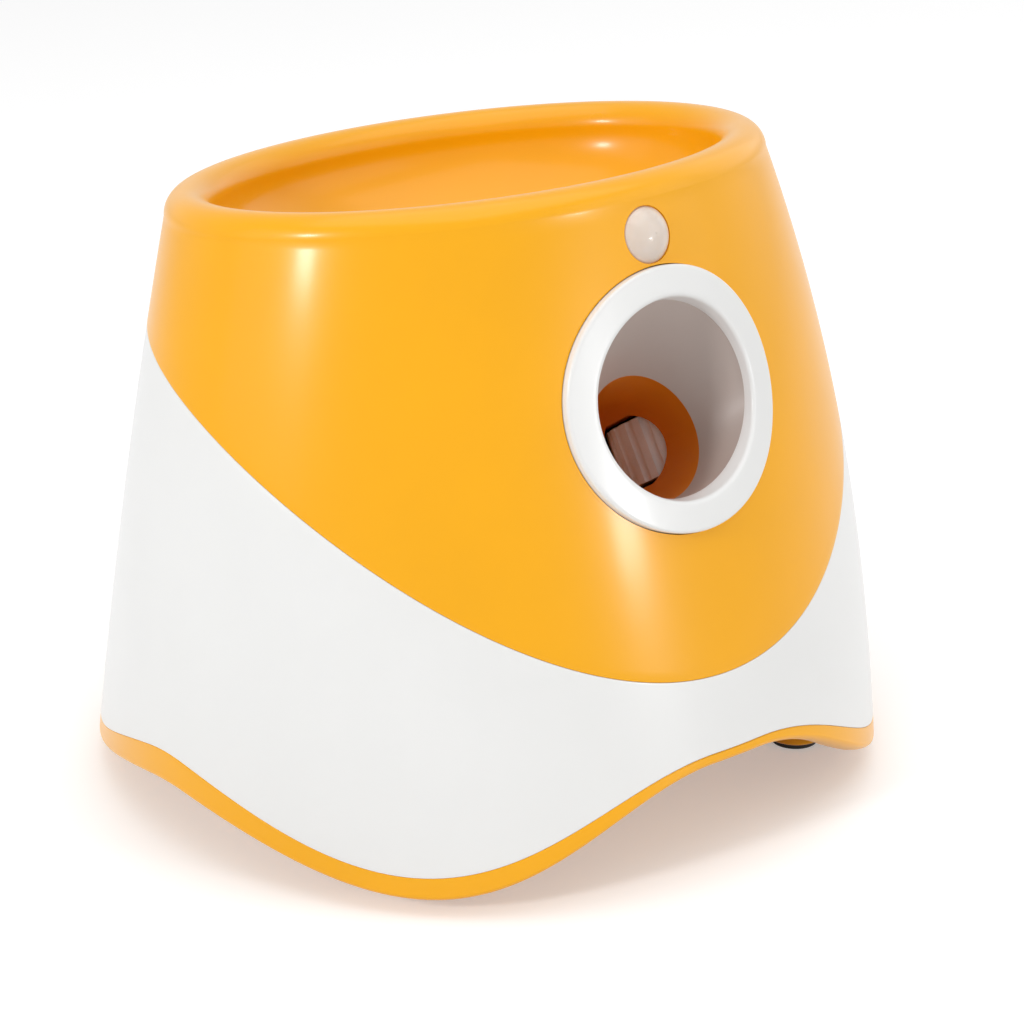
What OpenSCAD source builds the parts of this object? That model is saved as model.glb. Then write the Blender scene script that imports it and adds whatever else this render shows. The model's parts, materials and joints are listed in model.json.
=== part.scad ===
// Automatic ball launcher for dogs. Millimetres, +Z up, muzzle towards -Y.
// The origin is on the floor under the middle of the whole part's box.
// The housing is one lofted form, cut along two wavy parting lines into three shells.
// The launch unit inside lies in its own sloping frame: see the module at_launch.

/* [Housing] */
// Width of the base at the floor
base_w = 334; // [325:1:345]
// Depth of the base at the floor
base_d = 349; // [340:1:360]
// Width over the top rim
rim_w = 269; // [262:1:276]
// Depth over the top rim
rim_d = 213; // [206:1:220]
// Height of the middle of the rim plane
body_h = 252; // [244:1:262]
// Forward rise of the rim plane, degrees
rim_tilt = 6.8; // [5:0.1:9]
// Backward shift of the rim's middle
rim_shift = 8.5; // [5:0.5:11]
// Outward bulge of the sides at half height
side_bulge = 12.8; // [9:0.1:15]
// Inward draw of the front and back at half height
end_draw = 4.8; // [3:0.1:7]
// Forward shift of the section at half height
waist_shift = 8.1; // [6:0.1:10]
// Radius of the rolled rim
rim_roll_r = 9.8; // [9:0.1:11]
// Wall of the moulded shells
wall = 3; // [2.4:0.1:3.6]
// Gap of the parting lines
seam_gap = 0.4; // [0.3:0.05:0.8]

/* [Base] */
// Underside of the flat floor
floor_z = 48; // [44:1:50]
// Depth of the rounded edge under the band
edge_curl = 4; // [3:0.5:5]
// Azimuth of the front feet from the front, degrees
foot_az = 49; // [46:1:52]
// Radius of a rubber foot pad
pad_r = 10; // [8:0.5:12]
// Height of a rubber foot pad
pad_h = 4; // [3:0.5:5]
// Depth of the recess that a pad sits in
pad_recess = 1; // [0.5:0.25:1.5]

/* [Hopper] */
// Radius of the throat at the bottom of the hopper
throat_r = 28.5; // [28:0.25:30]
// Height of the throat's upper edge above the middle of the resting ball
throat_rise = 70; // [67:1:73]
// Length of the throat's collar
throat_len = 8; // [7:0.5:9]

/* [Muzzle] */
// Place of the muzzle on the front, as a share of the housing's height
muzzle_s = 0.72; // [0.7:0.01:0.73]
// Radius of the muzzle's outer ring
muzzle_ring_r = 52.9; // [50:0.1:55]
// Height that the ring stands proud of the housing
muzzle_proud = 3; // [2:0.5:4]
// Radius of the mouth
mouth_r = 39.2; // [37:0.1:41]
// Depth of the mouth's edge below the ring
mouth_recess = 4.5; // [3:0.5:6]
// Distance from the mouth back to the channel
nozzle_back = 20; // [18:0.5:22]
// Distance from the mouth down to the channel
nozzle_drop = 22.5; // [21:0.5:24]

/* [Sensor] */
// Place of the sensor lens, as a share of the housing's height
lens_s = 0.955; // [0.95:0.005:0.96]
// Radius of the sensor lens
lens_r = 11.3; // [10.5:0.1:12]
// Height of the lens dome
lens_dome = 6; // [4:0.5:8]

/* [Launch channel] */
// Slope of the channel above the horizontal, degrees
launch_angle = 33; // [31:0.5:35]
// Radius of the ball channel
channel_r = 26.5; // [26:0.1:27]
// Thinnest wall of the chamber
chamber_wall = 4.5; // [4:0.25:5]
// Length of the chamber
chamber_len = 150; // [148:1:152]
// Distance along the channel to the middle of the resting ball
feed_y = 84; // [82:1:86]
// Thickness of the chamber's rear cap
cap_t = 3; // [2:0.5:4]

/* [Launch wheels] */
// Radius of a launch wheel over its tread
wheel_r = 34; // [33:0.5:35]
// Width of a launch wheel
wheel_w = 26; // [24:1:27]
// Distance along the channel to the wheels
wheel_y = 40; // [38:1:41]
// Half the gap that the wheels leave for the ball
nip_half = 23; // [22.5:0.25:24]
// Thickness of the soft tread
tread_t = 7; // [6:0.5:8]
// Number of grooves round the tread
groove_count = 26; // [22:1:28]
// Radius of a tread groove
groove_r = 2.5; // [2:0.25:3]
// Radius of the wheel motors
motor_r = 14; // [12:0.5:14.5]
// Length of the wheel motors
motor_len = 38; // [30:1:40]
// Radius of the wheel motors' shafts
motor_shaft_r = 1.6; // [1.5:0.1:2.5]

/* [Feeder] */
// Stroke of the feed pusher
pusher_stroke = 30; // [28:1:31]
// Length of the feed pusher
pusher_len = 42; // [38:1:43]
// Module of the rack and its gear
rack_module = 1.25; // [1.25]
// Teeth of the gear that drives the rack
rack_gear_teeth = 20; // [20]
// Module of the reduction pair
pair_module = 1; // [1]
// Teeth of the large reduction gear
large_gear_teeth = 32; // [32]
// Teeth of the feed motor's pinion
pinion_teeth = 12; // [12]
// Radius of the gear axle
axle_r = 2; // [1.5:0.25:2.5]

/* [Power] */
// Diameter of one battery cell
cell_d = 26; // [24:0.5:27]
// Length of one battery cell
cell_len = 50; // [48:0.5:51]
// Middle of the battery box behind the origin
battery_y = 60; // [59:0.5:61]

/* [Controls] */
// Place of the rear panel, as a share of the housing's height
panel_s = 0.42; // [0.38:0.01:0.48]
// Width of the rear panel
panel_w = 84; // [80:1:90]
// Height of the rear panel
panel_h = 42; // [40:1:46]
// Height that the panel stands proud of the housing
panel_proud = 1.2; // [0.8:0.2:2]
// Travel of the distance button
button_travel = 1.5; // [1:0.25:2]

/* [Fits] */
// Radial clearance of a shaft or axle that turns in a hole
run_fit = 0.05; // [0.03:0.01:0.08]
// Clearance round a piece that slides or lifts out
slide_fit = 0.4; // [0.3:0.05:0.6]
// Radius of a small screw's shank
screw_r = 1.5; // [1.25:0.05:1.75]

/* [Hidden] */

// Colours
orange = [0.98, 0.68, 0.1];
white = [0.94, 0.94, 0.95];
grey = [0.62, 0.64, 0.66];
dark = [0.16, 0.16, 0.17];
metal = [0.78, 0.79, 0.8];
green = [0.1, 0.42, 0.25];

// Facets of the lofted shells and of turned pieces
ring_n = 72;
turn_fn = 96;
small_fn = 32;
// Small overlap of cutting bodies past a face
cut = 1;

// The form is drawn about the middle of its base, and placed so that its box is centred on the origin
box_shift = 3.5;
module placed() translate([0, box_shift, 0]) children();

// ---------------------------------------------------------------- housing form
// u is the azimuth from the front (-Y) towards +X, s runs from 0 at the floor to 1 at the rim.
function mix(a, b, t) = a + (b - a) * t;
function arch(s) = 4 * s * (1 - s);
function clamp01(t) = min(1, max(0, t));
function smooth(t) = clamp01(t) * clamp01(t) * (3 - 2 * clamp01(t));
function half_w(s) = mix(base_w, rim_w, s) / 2 + side_bulge * arch(s);
function half_d(s) = mix(base_d, rim_d, s) / 2 - end_draw * arch(s);
function mid_y(s) = rim_shift * s - waist_shift * arch(s);
function wall_pt(u, s) =
  let (y = -half_d(s) * cos(u))
  [half_w(s) * sin(u), mid_y(s) + y, body_h * s - y * tan(rim_tilt) * pow(s, 1.5)];

// Lean of the front (u = 0) or back (u = 180) wall from the vertical
slope_step = 0.03;
function wall_lean(u, s) =
  let (d = wall_pt(u, s + slope_step) - wall_pt(u, s - slope_step)) atan2(abs(d[1]), d[2]);

// Feet are smooth dips of the parting line and of the base's edge
foot_spread = 45;
function dip(t) = abs(t) < 1 ? (cos(180 * t) + 1) / 2 : 0;
function fold(u) = abs(u > 180 ? u - 360 : u);
function foot(u) = dip((fold(u) - foot_az) / foot_spread) + dip((180 - fold(u) - foot_az) / foot_spread);
function upper_seam(u) = 0.672 - 0.259 * cos(u) - 0.083 * cos(2 * u) - 0.011 * cos(3 * u);
function lower_seam(u) = mix(0.194 + 0.014 * cos(2 * u), 0.068, clamp01(foot(u)));
function base_edge(u) = mix(0.164 + 0.034 * cos(2 * u), 0.038, clamp01(foot(u)));

// Rolled rim, and the hopper that falls from it to the throat
roll_lean = [0, sin(rim_tilt), cos(rim_tilt)];
function rim_pt(u, turn) =
  let (r = rim_roll_r * (cos(turn) - 1), y = -(rim_d / 2 + r) * cos(u))
  [(rim_w / 2 + r) * sin(u), rim_shift + y, body_h - y * tan(rim_tilt)]
    + roll_lean * rim_roll_r * sin(turn);
throat_round = 5;
bowl_turn = 65;
function bowl_pt(u, t) =
  let (e = (1 - cos(bowl_turn * t)) / (1 - cos(bowl_turn)), h = sin(bowl_turn * t) / sin(bowl_turn),
       a = mix(rim_w / 2 - 2 * rim_roll_r, throat_r + throat_round, e),
       b = mix(rim_d / 2 - 2 * rim_roll_r, throat_r + throat_round, e), y = -b * cos(u))
  [a * sin(u), mix(rim_shift, feed_world[1], e) + y, mix(body_h - y * tan(rim_tilt), throat_z, h)];
function throat_pt(u, grow, drop) =
  [(throat_r + grow) * sin(u), feed_world[1] - (throat_r + grow) * cos(u), throat_z - drop];

// ---------------------------------------------------------------- lofted skins
// A grid is a list of rows of points, each row one turn round the housing.
az = [for (i = [0 : ring_n - 1]) i * 360 / ring_n];
function grid_normal(g, j, i) =
  let (n = len(g[j]), up = g[min(j + 1, len(g) - 1)][i] - g[max(j - 1, 0)][i],
       along = g[j][(i + 1) % n] - g[j][(i + n - 1) % n], c = cross(along, up))
  c / norm(c);
function inset(g, rows, t) =
  [for (j = rows) [for (i = [0 : len(g[j]) - 1]) g[j][i] - t * grid_normal(g, j, i)]];
function reversed(v) = [for (j = [len(v) - 1 : -1 : 0]) v[j]];
function flatten(g) = [for (row = g) each row];
function quad(a, b, c, d) = [[a, d, c], [a, c, b]];
function band_faces(j, k, n) =
  [for (i = [0 : n - 1]) each quad(j * n + i, j * n + (i + 1) % n, k * n + (i + 1) % n, k * n + i)];

// A skin that is open at its middle closes on itself from its last row to its first
module open_skin(g) {
  m = len(g);
  n = len(g[0]);
  polyhedron(flatten(g), [for (j = [0 : m - 1]) each band_faces(j, (j + 1) % m, n)]);
}

// A skin that is closed at its middle ends in one point at each end
module closed_skin(g, first, last) {
  m = len(g);
  n = len(g[0]);
  a = m * n;
  polyhedron(concat(flatten(g), [first, last]), concat(
    [for (j = [0 : m - 2]) each band_faces(j, j + 1, n)],
    [for (i = [0 : n - 1]) [a, i, (i + 1) % n]],
    [for (i = [0 : n - 1]) [a + 1, (m - 1) * n + (i + 1) % n, (m - 1) * n + i]]));
}

// ---------------------------------------------------------------- frames
muzzle_at = wall_pt(0, muzzle_s);
muzzle_lean = wall_lean(0, muzzle_s);
lens_at = wall_pt(0, lens_s);
lens_lean = wall_lean(0, lens_s);
panel_at = wall_pt(180, panel_s);
panel_lean = wall_lean(180, panel_s);
launch_at = [0, muzzle_at[1] + nozzle_back, muzzle_at[2] - nozzle_drop];
// A point of the launch frame, given by its distance along the channel and above it
function launch_pt(y, z) = launch_at + [0, y * cos(launch_angle) + z * sin(launch_angle),
                                        -y * sin(launch_angle) + z * cos(launch_angle)];
feed_world = launch_pt(feed_y, 0);
throat_z = feed_world[2] + throat_rise;

// Local +Y runs down the channel, +Z is square to it and up
module at_launch() translate(launch_at) rotate([-launch_angle, 0, 0]) children();
// Local +Z points out of the wall, +Y up along it
module at_muzzle() translate(muzzle_at) rotate([90 - muzzle_lean, 0, 0]) children();
module at_lens() translate(lens_at) rotate([90 - lens_lean, 0, 0]) children();
module at_panel() translate(panel_at) rotate([90 - panel_lean, 0, 180]) children();
module both_sides() {
  children();
  mirror([1, 0, 0]) children();
}
module box(low, high) translate(low) cube(high - low);
module screw(length) {
  cylinder(r = screw_r, h = length, $fn = small_fn);
  translate([0, 0, -screw_head_h]) cylinder(r = screw_head_r, h = screw_head_h, $fn = small_fn);
}
screw_head_r = 2 * screw_r;
screw_head_h = 1.8;
screw_gap = 0.2;

// ---------------------------------------------------------------- shells
wall_rows = 8;
bowl_rows = 8;
roll_turns = [25 : 20 : 165];
upper_grid = concat(
  [for (k = [0 : wall_rows]) [for (u = az) wall_pt(u, mix(upper_seam(u), 1, k / wall_rows))]],
  [for (turn = roll_turns) [for (u = az) rim_pt(u, turn)]],
  [for (k = [1 : bowl_rows]) [for (u = az) bowl_pt(u, k / bowl_rows)]],
  [[for (u = az) throat_pt(u, throat_round / 3, throat_round / 3)]],
  [[for (u = az) throat_pt(u, 0, throat_round)]],
  [[for (u = az) throat_pt(u, 0, throat_len)]]);
upper_inner_rows = [for (j = [0 : len(upper_grid) - 1])
                    if (j < 1 || j > wall_rows || j % 2 == 0) j];

module upper_shell() color(orange) difference() {
  union() {
    open_skin(concat(upper_grid, reversed(inset(upper_grid, upper_inner_rows, wall))));
    upper_lugs();
  }
  at_lugs() lug_hole();
  at_muzzle() translate([0, 0, -ring_skirt - cut])
    cylinder(r = muzzle_ring_r + slide_fit, h = ring_skirt + 5 * wall, $fn = turn_fn);
  at_lens() translate([0, 0, -4 * wall])
    cylinder(r = lens_r - lens_step, h = 6 * wall, $fn = turn_fn);
  at_lens() translate([0, 0, -lens_seat])
    cylinder(r = lens_r + slide_fit / 2, h = 3 * wall, $fn = turn_fn);
}

// Lugs inside the upper parting line, in pairs that a screw draws together.
// Each lug stands clear of the wall of the other shell and is joined to its own by a rib.
lug_az = [40, 140, 220, 320];
lug_r = 4.5;
lug_h = 16;
lug_clear = 1;
rib_t = 2.4;
rib_step = 7;
lug_in = 2 * wall + lug_clear + lug_r;
// Outward normal of the wall in plan
function plan_normal(u, s) =
  let (p = wall_pt(u, s), n = [p[0] / pow(half_w(s), 2), (p[1] - mid_y(s)) / pow(half_d(s), 2)])
  n / norm(n);
// Outward shift of the wall for each millimetre of height
function plan_draw(u, s) =
  let (d = wall_pt(u, s + slope_step) - wall_pt(u, s - slope_step), n = plan_normal(u, s))
  (d[0] * n[0] + d[1] * n[1]) / d[2];
module at_lug(u) let (p = wall_pt(u, upper_seam(u)), n = plan_normal(u, upper_seam(u)))
  translate([p[0], p[1], p[2] - seam_gap / 2]) rotate(atan2(n[1], n[0])) children();
module at_lugs() for (u = lug_az) at_lug(u) children();
module lug(draw) {
  translate([-lug_in, 0, 0]) cylinder(r = lug_r, h = lug_h, $fn = small_fn);
  translate([0, rib_t / 2, 0]) rotate([90, 0, 0]) linear_extrude(rib_t) polygon([
    [-lug_in, rib_step], [draw * rib_step - wall / 2, rib_step], [draw * lug_h - wall / 2, lug_h],
    [-lug_in, lug_h]]);
}
module upper_lugs() for (u = lug_az) at_lug(u)
  translate([0, 0, seam_gap]) lug(plan_draw(u, upper_seam(u)));
module lower_lugs() for (u = lug_az) at_lug(u)
  mirror([0, 0, 1]) lug(-plan_draw(u, upper_seam(u)));
module lug_hole() translate([-lug_in, 0, -cut]) cylinder(r = screw_r, h = lug_h - 2, $fn = small_fn);

mid_rows = 6;
seam_s = seam_gap / body_h;
mid_grid = [for (k = [0 : mid_rows]) [for (u = az)
            wall_pt(u, mix(lower_seam(u), upper_seam(u) - seam_s, k / mid_rows))]];

module mid_shell() color(white) difference() {
  union() {
    open_skin(concat(mid_grid, reversed(inset(mid_grid, [0 : mid_rows], wall))));
    lower_lugs();
    foot_posts();
  }
  at_lugs() translate([-lug_in, 0, -lug_h - cut])
    cylinder(r = screw_r + screw_gap, h = lug_h + 2 * cut, $fn = small_fn);
  at_feet() translate([0, 0, boss_top]) cylinder(r = screw_r, h = post_h / 2, $fn = small_fn);
  at_panel() box([-panel_w / 2 - slide_fit, -panel_h / 2 - slide_fit, -6 * wall],
                 [panel_w / 2 + slide_fit, panel_h / 2 + slide_fit, 6 * wall]);
}

// Rings of the underside, as shares of the housing's section at the base's edge
curl_share = 0.94;
flat_share = 0.65;
under_shares = [0.3, flat_share, 0.69, 0.74, 0.8, 0.87, curl_share, 0.97, 0.99];
tub_wall_rows = 3;
function under_pt(u, r) =
  let (s = base_edge(u), edge = wall_pt(u, s)[2], y = -half_d(s) * cos(u),
       curl = edge_curl * sqrt(1 - pow(max(0, r - curl_share) / (1 - curl_share), 2)),
       z = mix(floor_z, edge - curl, smooth((r - flat_share) / (curl_share - flat_share))))
  [r * half_w(s) * sin(u), r * (mid_y(s) + y), z];
tub_grid = concat(
  [for (r = under_shares) [for (u = az) under_pt(u, r)]],
  [for (k = [0 : tub_wall_rows]) [for (u = az)
   wall_pt(u, mix(base_edge(u), lower_seam(u) - seam_s, k / tub_wall_rows))]]);
tub_inner_rows = [0, 1, 2, 3, 4, 5, 6, 9, 11, 12];

foot_share = 0.8;
foot_boss_r = pad_r + 3;
foot_azimuths = [foot_az, 180 - foot_az, 180 + foot_az, 360 - foot_az];
module at_feet() for (u = foot_azimuths) let (p = under_pt(u, foot_share))
  translate([p[0], p[1], 0]) children();

foot_boss_h = 22;
// The inner part of a boss rises to a flat top that the middle shell's post stands over
boss_top = 40;
post_r = 6;
post_h = 40;
post_gap = 0.4;
head_room = 22;
module base_tub() color(orange) difference() {
  union() {
    closed_skin(concat(tub_grid, reversed(inset(tub_grid, tub_inner_rows, wall))),
                [0, 0, floor_z], [0, 0, floor_z + wall]);
    at_feet() translate([0, 0, pad_h - pad_recess]) {
      cylinder(r = foot_boss_r, h = foot_boss_h, $fn = turn_fn);
      cylinder(r = post_r + 1, h = boss_top - pad_h + pad_recess, $fn = turn_fn);
    }
    door_screw_places() translate([0, 0, floor_z + 1])
      cylinder(r = door_boss_r, h = door_boss_h, $fn = small_fn);
  }
  at_feet() {
    translate([0, 0, -cut]) cylinder(r = pad_r + slide_fit, h = pad_h + cut, $fn = turn_fn);
    cylinder(r = screw_head_r + screw_gap, h = head_room, $fn = small_fn);
    cylinder(r = screw_r + screw_gap, h = boss_top + cut, $fn = small_fn);
  }
  both_sides() bracket_screw_places() translate([0, 0, -2 * wall])
    cylinder(r = screw_r + screw_gap, h = 3 * wall, $fn = small_fn);
  battery_opening();
  door_recess();
  door_screw_places() translate([0, 0, floor_z - cut])
    cylinder(r = screw_r, h = door_boss_h, $fn = small_fn);
}
// Posts of the middle shell over the feet, each with a rib to the wall
module foot_posts() for (u = foot_azimuths) let (p = under_pt(u, foot_share), q = wall_pt(u, 0.25)) {
  translate([p[0], p[1], boss_top + post_gap]) {
    cylinder(r = post_r, h = post_h, $fn = turn_fn);
    rotate(atan2(q[1] - p[1], q[0] - p[0]))
      box([0, -rib_t / 2, post_h / 3],
          [norm([q[0] - p[0], q[1] - p[1]]) - 0.6 * wall, rib_t / 2, post_h - 4]);
  }
}

module foot_pads() color(dark) at_feet() cylinder(r = pad_r, h = pad_h, $fn = turn_fn);

// ---------------------------------------------------------------- muzzle and sensor
// Plan radius of the front wall at the muzzle
front_r = pow(half_w(muzzle_s), 2) / half_d(muzzle_s);
ring_skirt = 12;
ring_floor = 8;
nozzle_wall = 3;
mouth_flare = 5.5;
lip_t = 1.5;
nozzle_gap = 1;
module front_drum(grow) translate([0, 0, -front_r]) rotate([90, 0, 0])
  cylinder(r = front_r + grow, h = 3 * muzzle_ring_r, center = true, $fn = 4 * turn_fn);

// The ring follows the curve of the front wall and drops through it with a skirt
module muzzle_ring() color(white) at_muzzle() intersection() {
  front_drum(muzzle_proud);
  rotate_extrude($fn = turn_fn) polygon([
    [mouth_r, -mouth_recess], [mouth_r + mouth_flare, muzzle_proud + cut],
    [muzzle_ring_r, muzzle_proud + cut],
    [muzzle_ring_r, -ring_skirt], [muzzle_ring_r - nozzle_wall, -ring_skirt],
    [muzzle_ring_r - nozzle_wall, -ring_floor], [mouth_r + 2 * nozzle_wall, -ring_floor],
    [mouth_r + 2 * nozzle_wall, -ring_skirt], [mouth_r + nozzle_wall + nozzle_gap, -ring_skirt],
    [mouth_r + nozzle_wall + nozzle_gap, -mouth_recess - lip_t], [mouth_r, -mouth_recess - lip_t]]);
}

// The nozzle narrows from the mouth's circle to the channel's, whose planes and centres differ
nozzle_n = 48;
nozzle_rows = 3;
function mouth_pt(u, r) = muzzle_at + r * [cos(u), sin(u) * sin(muzzle_lean), sin(u) * cos(muzzle_lean)]
  + (mouth_recess + lip_t) * [0, cos(muzzle_lean), -sin(muzzle_lean)];
function inlet_pt(u, r) = launch_at + r * [cos(u), sin(u) * sin(launch_angle), sin(u) * cos(launch_angle)];
function nozzle_row(grow, t) = [for (i = [0 : nozzle_n - 1]) let (u = i * 360 / nozzle_n)
  mix(mouth_pt(u, mouth_r + grow), inlet_pt(u, channel_r + grow), t)];
module muzzle_nozzle() color(white) open_skin(concat(
  [for (k = [nozzle_rows : -1 : 0]) nozzle_row(nozzle_wall, k / nozzle_rows)],
  [for (k = [0 : nozzle_rows]) nozzle_row(0, k / nozzle_rows)]));

lens_step = 1.5;
lens_seat = 1;
lens_skin = 1.5;
lens_tube = 7;
// Radius of the sphere that the dome is cut from
lens_ball_r = (pow(lens_r, 2) + pow(lens_dome, 2)) / (2 * lens_dome);
lens_tube_r = lens_r - lens_step - slide_fit;
module sensor_lens() color([0.95, 0.95, 0.93]) at_lens() translate([0, 0, -lens_seat])
  rotate_extrude($fn = turn_fn) difference() {
    union() {
      intersection() {
        translate([0, lens_dome - lens_ball_r]) circle(r = lens_ball_r, $fn = turn_fn);
        square([lens_r, lens_dome + cut]);
      }
      translate([0, -lens_tube]) square([lens_tube_r, lens_tube + 0.5]);
    }
    intersection() {
      translate([0, lens_dome - lens_ball_r]) circle(r = lens_ball_r - lens_skin, $fn = turn_fn);
      translate([0, -2 * lens_tube]) square([lens_tube_r - lens_skin, 3 * lens_tube]);
    }
    translate([0, -2 * lens_tube]) square([lens_tube_r - lens_skin, 2 * lens_tube]);
  }

sensor_board_size = [22, 17, 1.6];
sensor_can_r = 4.5;
sensor_can_h = 5;
module sensor_board() at_lens() translate([0, 0, -lens_seat - lens_tube - sensor_board_size[2]]) {
  color(green) translate([-sensor_board_size[0] / 2, -sensor_board_size[1] / 2, 0]) cube(sensor_board_size);
  color(metal) translate([0, 0, sensor_board_size[2] - 0.2])
    cylinder(r = sensor_can_r, h = sensor_can_h, $fn = small_fn);
}

// ---------------------------------------------------------------- chamber
chamber_half = channel_r + chamber_wall;
chamber_bevel = 6;
deck_top = -17;
deck_t = 3;
wheel_x = nip_half + wheel_r;
wheel_room = 2;
slot_half = 5;
chute_wall = 3;
chute_foot_t = 3;
chute_foot_half = [38, 42];

module channel_cut() translate([0, -cut, 0]) rotate([-90, 0, 0])
  cylinder(r = channel_r, h = chamber_len + 2 * cut, $fn = turn_fn);
module wheel_cuts() both_sides() translate([wheel_x, wheel_y, -wheel_w / 2 - wheel_room])
  cylinder(r = wheel_r + wheel_room, h = wheel_w + 2 * wheel_room, $fn = turn_fn);
// Slot for the rack's arm, from its forward end to its rest
module rack_slot() box([0, arm_y - pusher_stroke - cut, -slot_half],
                       [chamber_half + cut, arm_y + arm_len + cut, slot_half]);
module cap_screw_places(z_sides) for (x = [-1, 1], z = z_sides)
  translate([x * cap_screw_at, chamber_len, z * cap_screw_at]) rotate([90, 0, 0]) children();
cap_screw_at = chamber_half - 6;
cap_screw_len = 10;
module cap_screw_holes(z_sides) cap_screw_places(z_sides) translate([0, 0, -cut])
  cylinder(r = screw_r, h = cap_screw_len + cut, $fn = small_fn);
module sensor_ports() both_sides() translate([0, eye_y, eye_z]) rotate([0, 90, 0])
  cylinder(r = eye_r, h = chamber_half + cut, $fn = small_fn);
module chamber_profile() polygon([
  [-chamber_half, 0], [chamber_half, 0], [chamber_half, chamber_half - chamber_bevel],
  [chamber_half - chamber_bevel, chamber_half], [-chamber_half + chamber_bevel, chamber_half],
  [-chamber_half, chamber_half - chamber_bevel]]);
module chamber_block() translate([0, chamber_len, 0]) rotate([90, 0, 0])
  linear_extrude(chamber_len) chamber_profile();
// The vertical drop from the hopper, in world directions
module drop_bore() translate(feed_world) cylinder(r = throat_r, h = throat_z - feed_world[2], $fn = turn_fn);

module chamber_upper() color(orange) difference() {
  at_launch() difference() {
    union() {
      chamber_block();
      box([-chute_foot_half[0], chute_y - chute_foot_half[1], chamber_half - chute_foot_t],
          [chute_foot_half[0], chute_y + chute_foot_half[1], chamber_half]);
    }
    channel_cut();
    wheel_cuts();
    rack_slot();
    sensor_ports();
    cap_screw_holes([1]);
    chute_screw_places() translate([0, 0, -2 * chute_foot_t])
      cylinder(r = screw_r, h = 4 * chute_foot_t, $fn = small_fn);
  }
  drop_bore();
}
// Middle of the vertical drop where it leaves the top of the chamber
chute_y = feed_y - chamber_half * tan(launch_angle);
module chute_screw_places() for (x = [-1, 1], y = [-1, 1])
  translate([x * (chute_foot_half[0] - 3.4), chute_y + y * (chute_foot_half[1] - 4), chamber_half])
    children();

ear_w = 11;
ear_t = 3;
ear_len = 7;
ear_places = [0, feed_y, chamber_len - ear_len];
module chamber_lower() color(orange) at_launch() difference() {
  union() {
    mirror([0, 0, 1]) chamber_block();
    for (y = ear_places)
      box([-chamber_half - ear_w, y, deck_top], [chamber_half + ear_w, y + ear_len, deck_top + ear_t]);
  }
  channel_cut();
  wheel_cuts();
  rack_slot();
  cap_screw_holes([-1]);
  ear_screw_places() translate([0, 0, -ear_t])
    cylinder(r = screw_r + screw_gap, h = 4 * ear_t, $fn = small_fn);
}
module ear_screw_places() for (y = ear_places) both_sides()
  translate([chamber_half + ear_w / 2, y + ear_len / 2, deck_top]) children();

module chamber_cap() color(orange) at_launch() difference() {
  box([-chamber_half, chamber_len, -chamber_half], [chamber_half, chamber_len + cap_t, chamber_half]);
  cap_screw_places([-1, 1]) translate([0, 0, -cap_t - cut])
    cylinder(r = screw_r + screw_gap, h = cap_t + 2 * cut, $fn = small_fn);
}

eye_y = feed_y + 10;
eye_z = 18;
eye_r = 2.5;
eye_size = [6, 12, 10];
module ball_sensors() color(dark) at_launch() both_sides()
  translate([chamber_half, eye_y - eye_size[1] / 2, eye_z - eye_size[2] / 2]) cube(eye_size);

chute_top = throat_z - throat_len;
collar_h = 4;
collar_rise = 2;
collar_wall = 2.4;
collar_r = throat_r + wall + slide_fit;
module drop_chute() color(white) difference() {
  union() {
    translate(feed_world) cylinder(r = throat_r + chute_wall, h = chute_top - feed_world[2], $fn = turn_fn);
    translate([0, feed_world[1], chute_top - collar_h])
      cylinder(r = collar_r + collar_wall, h = collar_h + collar_rise, $fn = turn_fn);
    at_launch() box([-chute_foot_half[0], chute_y - chute_foot_half[1], chamber_half],
                    [chute_foot_half[0], chute_y + chute_foot_half[1], chamber_half + chute_foot_t]);
  }
  at_launch() box([-2 * chamber_half, -chamber_len, -3 * chamber_half],
                  [2 * chamber_half, 2 * chamber_len, chamber_half]);
  drop_bore();
  translate([0, feed_world[1], chute_top - post_gap]) cylinder(r = collar_r, h = 2 * collar_h, $fn = turn_fn);
  at_launch() chute_screw_places() translate([0, 0, -cut])
    cylinder(r = screw_r + screw_gap, h = 4 * chute_foot_t, $fn = small_fn);
}

// ---------------------------------------------------------------- deck and brackets
deck_half = 88;
deck_front = 2;
deck_end = 166;
module motor_places() both_sides() translate([wheel_x, wheel_y, 0]) children();
boss_r = 5;
boss_h = 2;
motor_screw_x = 8;
module launch_deck() color(grey) at_launch() translate([0, 0, deck_top - deck_t]) difference() {
  linear_extrude(deck_t) difference() {
    polygon([[-deck_half, deck_front + 14], [-deck_half + 14, deck_front], [deck_half - 14, deck_front],
             [deck_half, deck_front + 14], [deck_half, deck_end], [-deck_half, deck_end]]);
    translate([-chamber_half - slide_fit, -cut])
      square([2 * (chamber_half + slide_fit), chamber_len + cap_t + slide_fit + cut]);
  }
  motor_places() translate([0, 0, -cut]) {
    cylinder(r = boss_r + slide_fit, h = deck_t + 2 * cut, $fn = small_fn);
    for (x = [-1, 1]) translate([x * motor_screw_x, 0, 0])
      cylinder(r = screw_r + screw_gap, h = deck_t + 2 * cut, $fn = small_fn);
  }
  for (p = cover_legs) translate([p[0], p[1], -cut])
    cylinder(r = screw_r + screw_gap, h = deck_t + 2 * cut, $fn = small_fn);
  translate([0, 0, -deck_top + deck_t]) ear_screw_places() translate([0, 0, -deck_t - cut])
    cylinder(r = screw_r + screw_gap, h = deck_t + 2 * cut, $fn = small_fn);
  translate([gear_x, gear_y, -cut]) cylinder(r = axle_r, h = deck_t + 2 * cut, $fn = small_fn);
}

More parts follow.
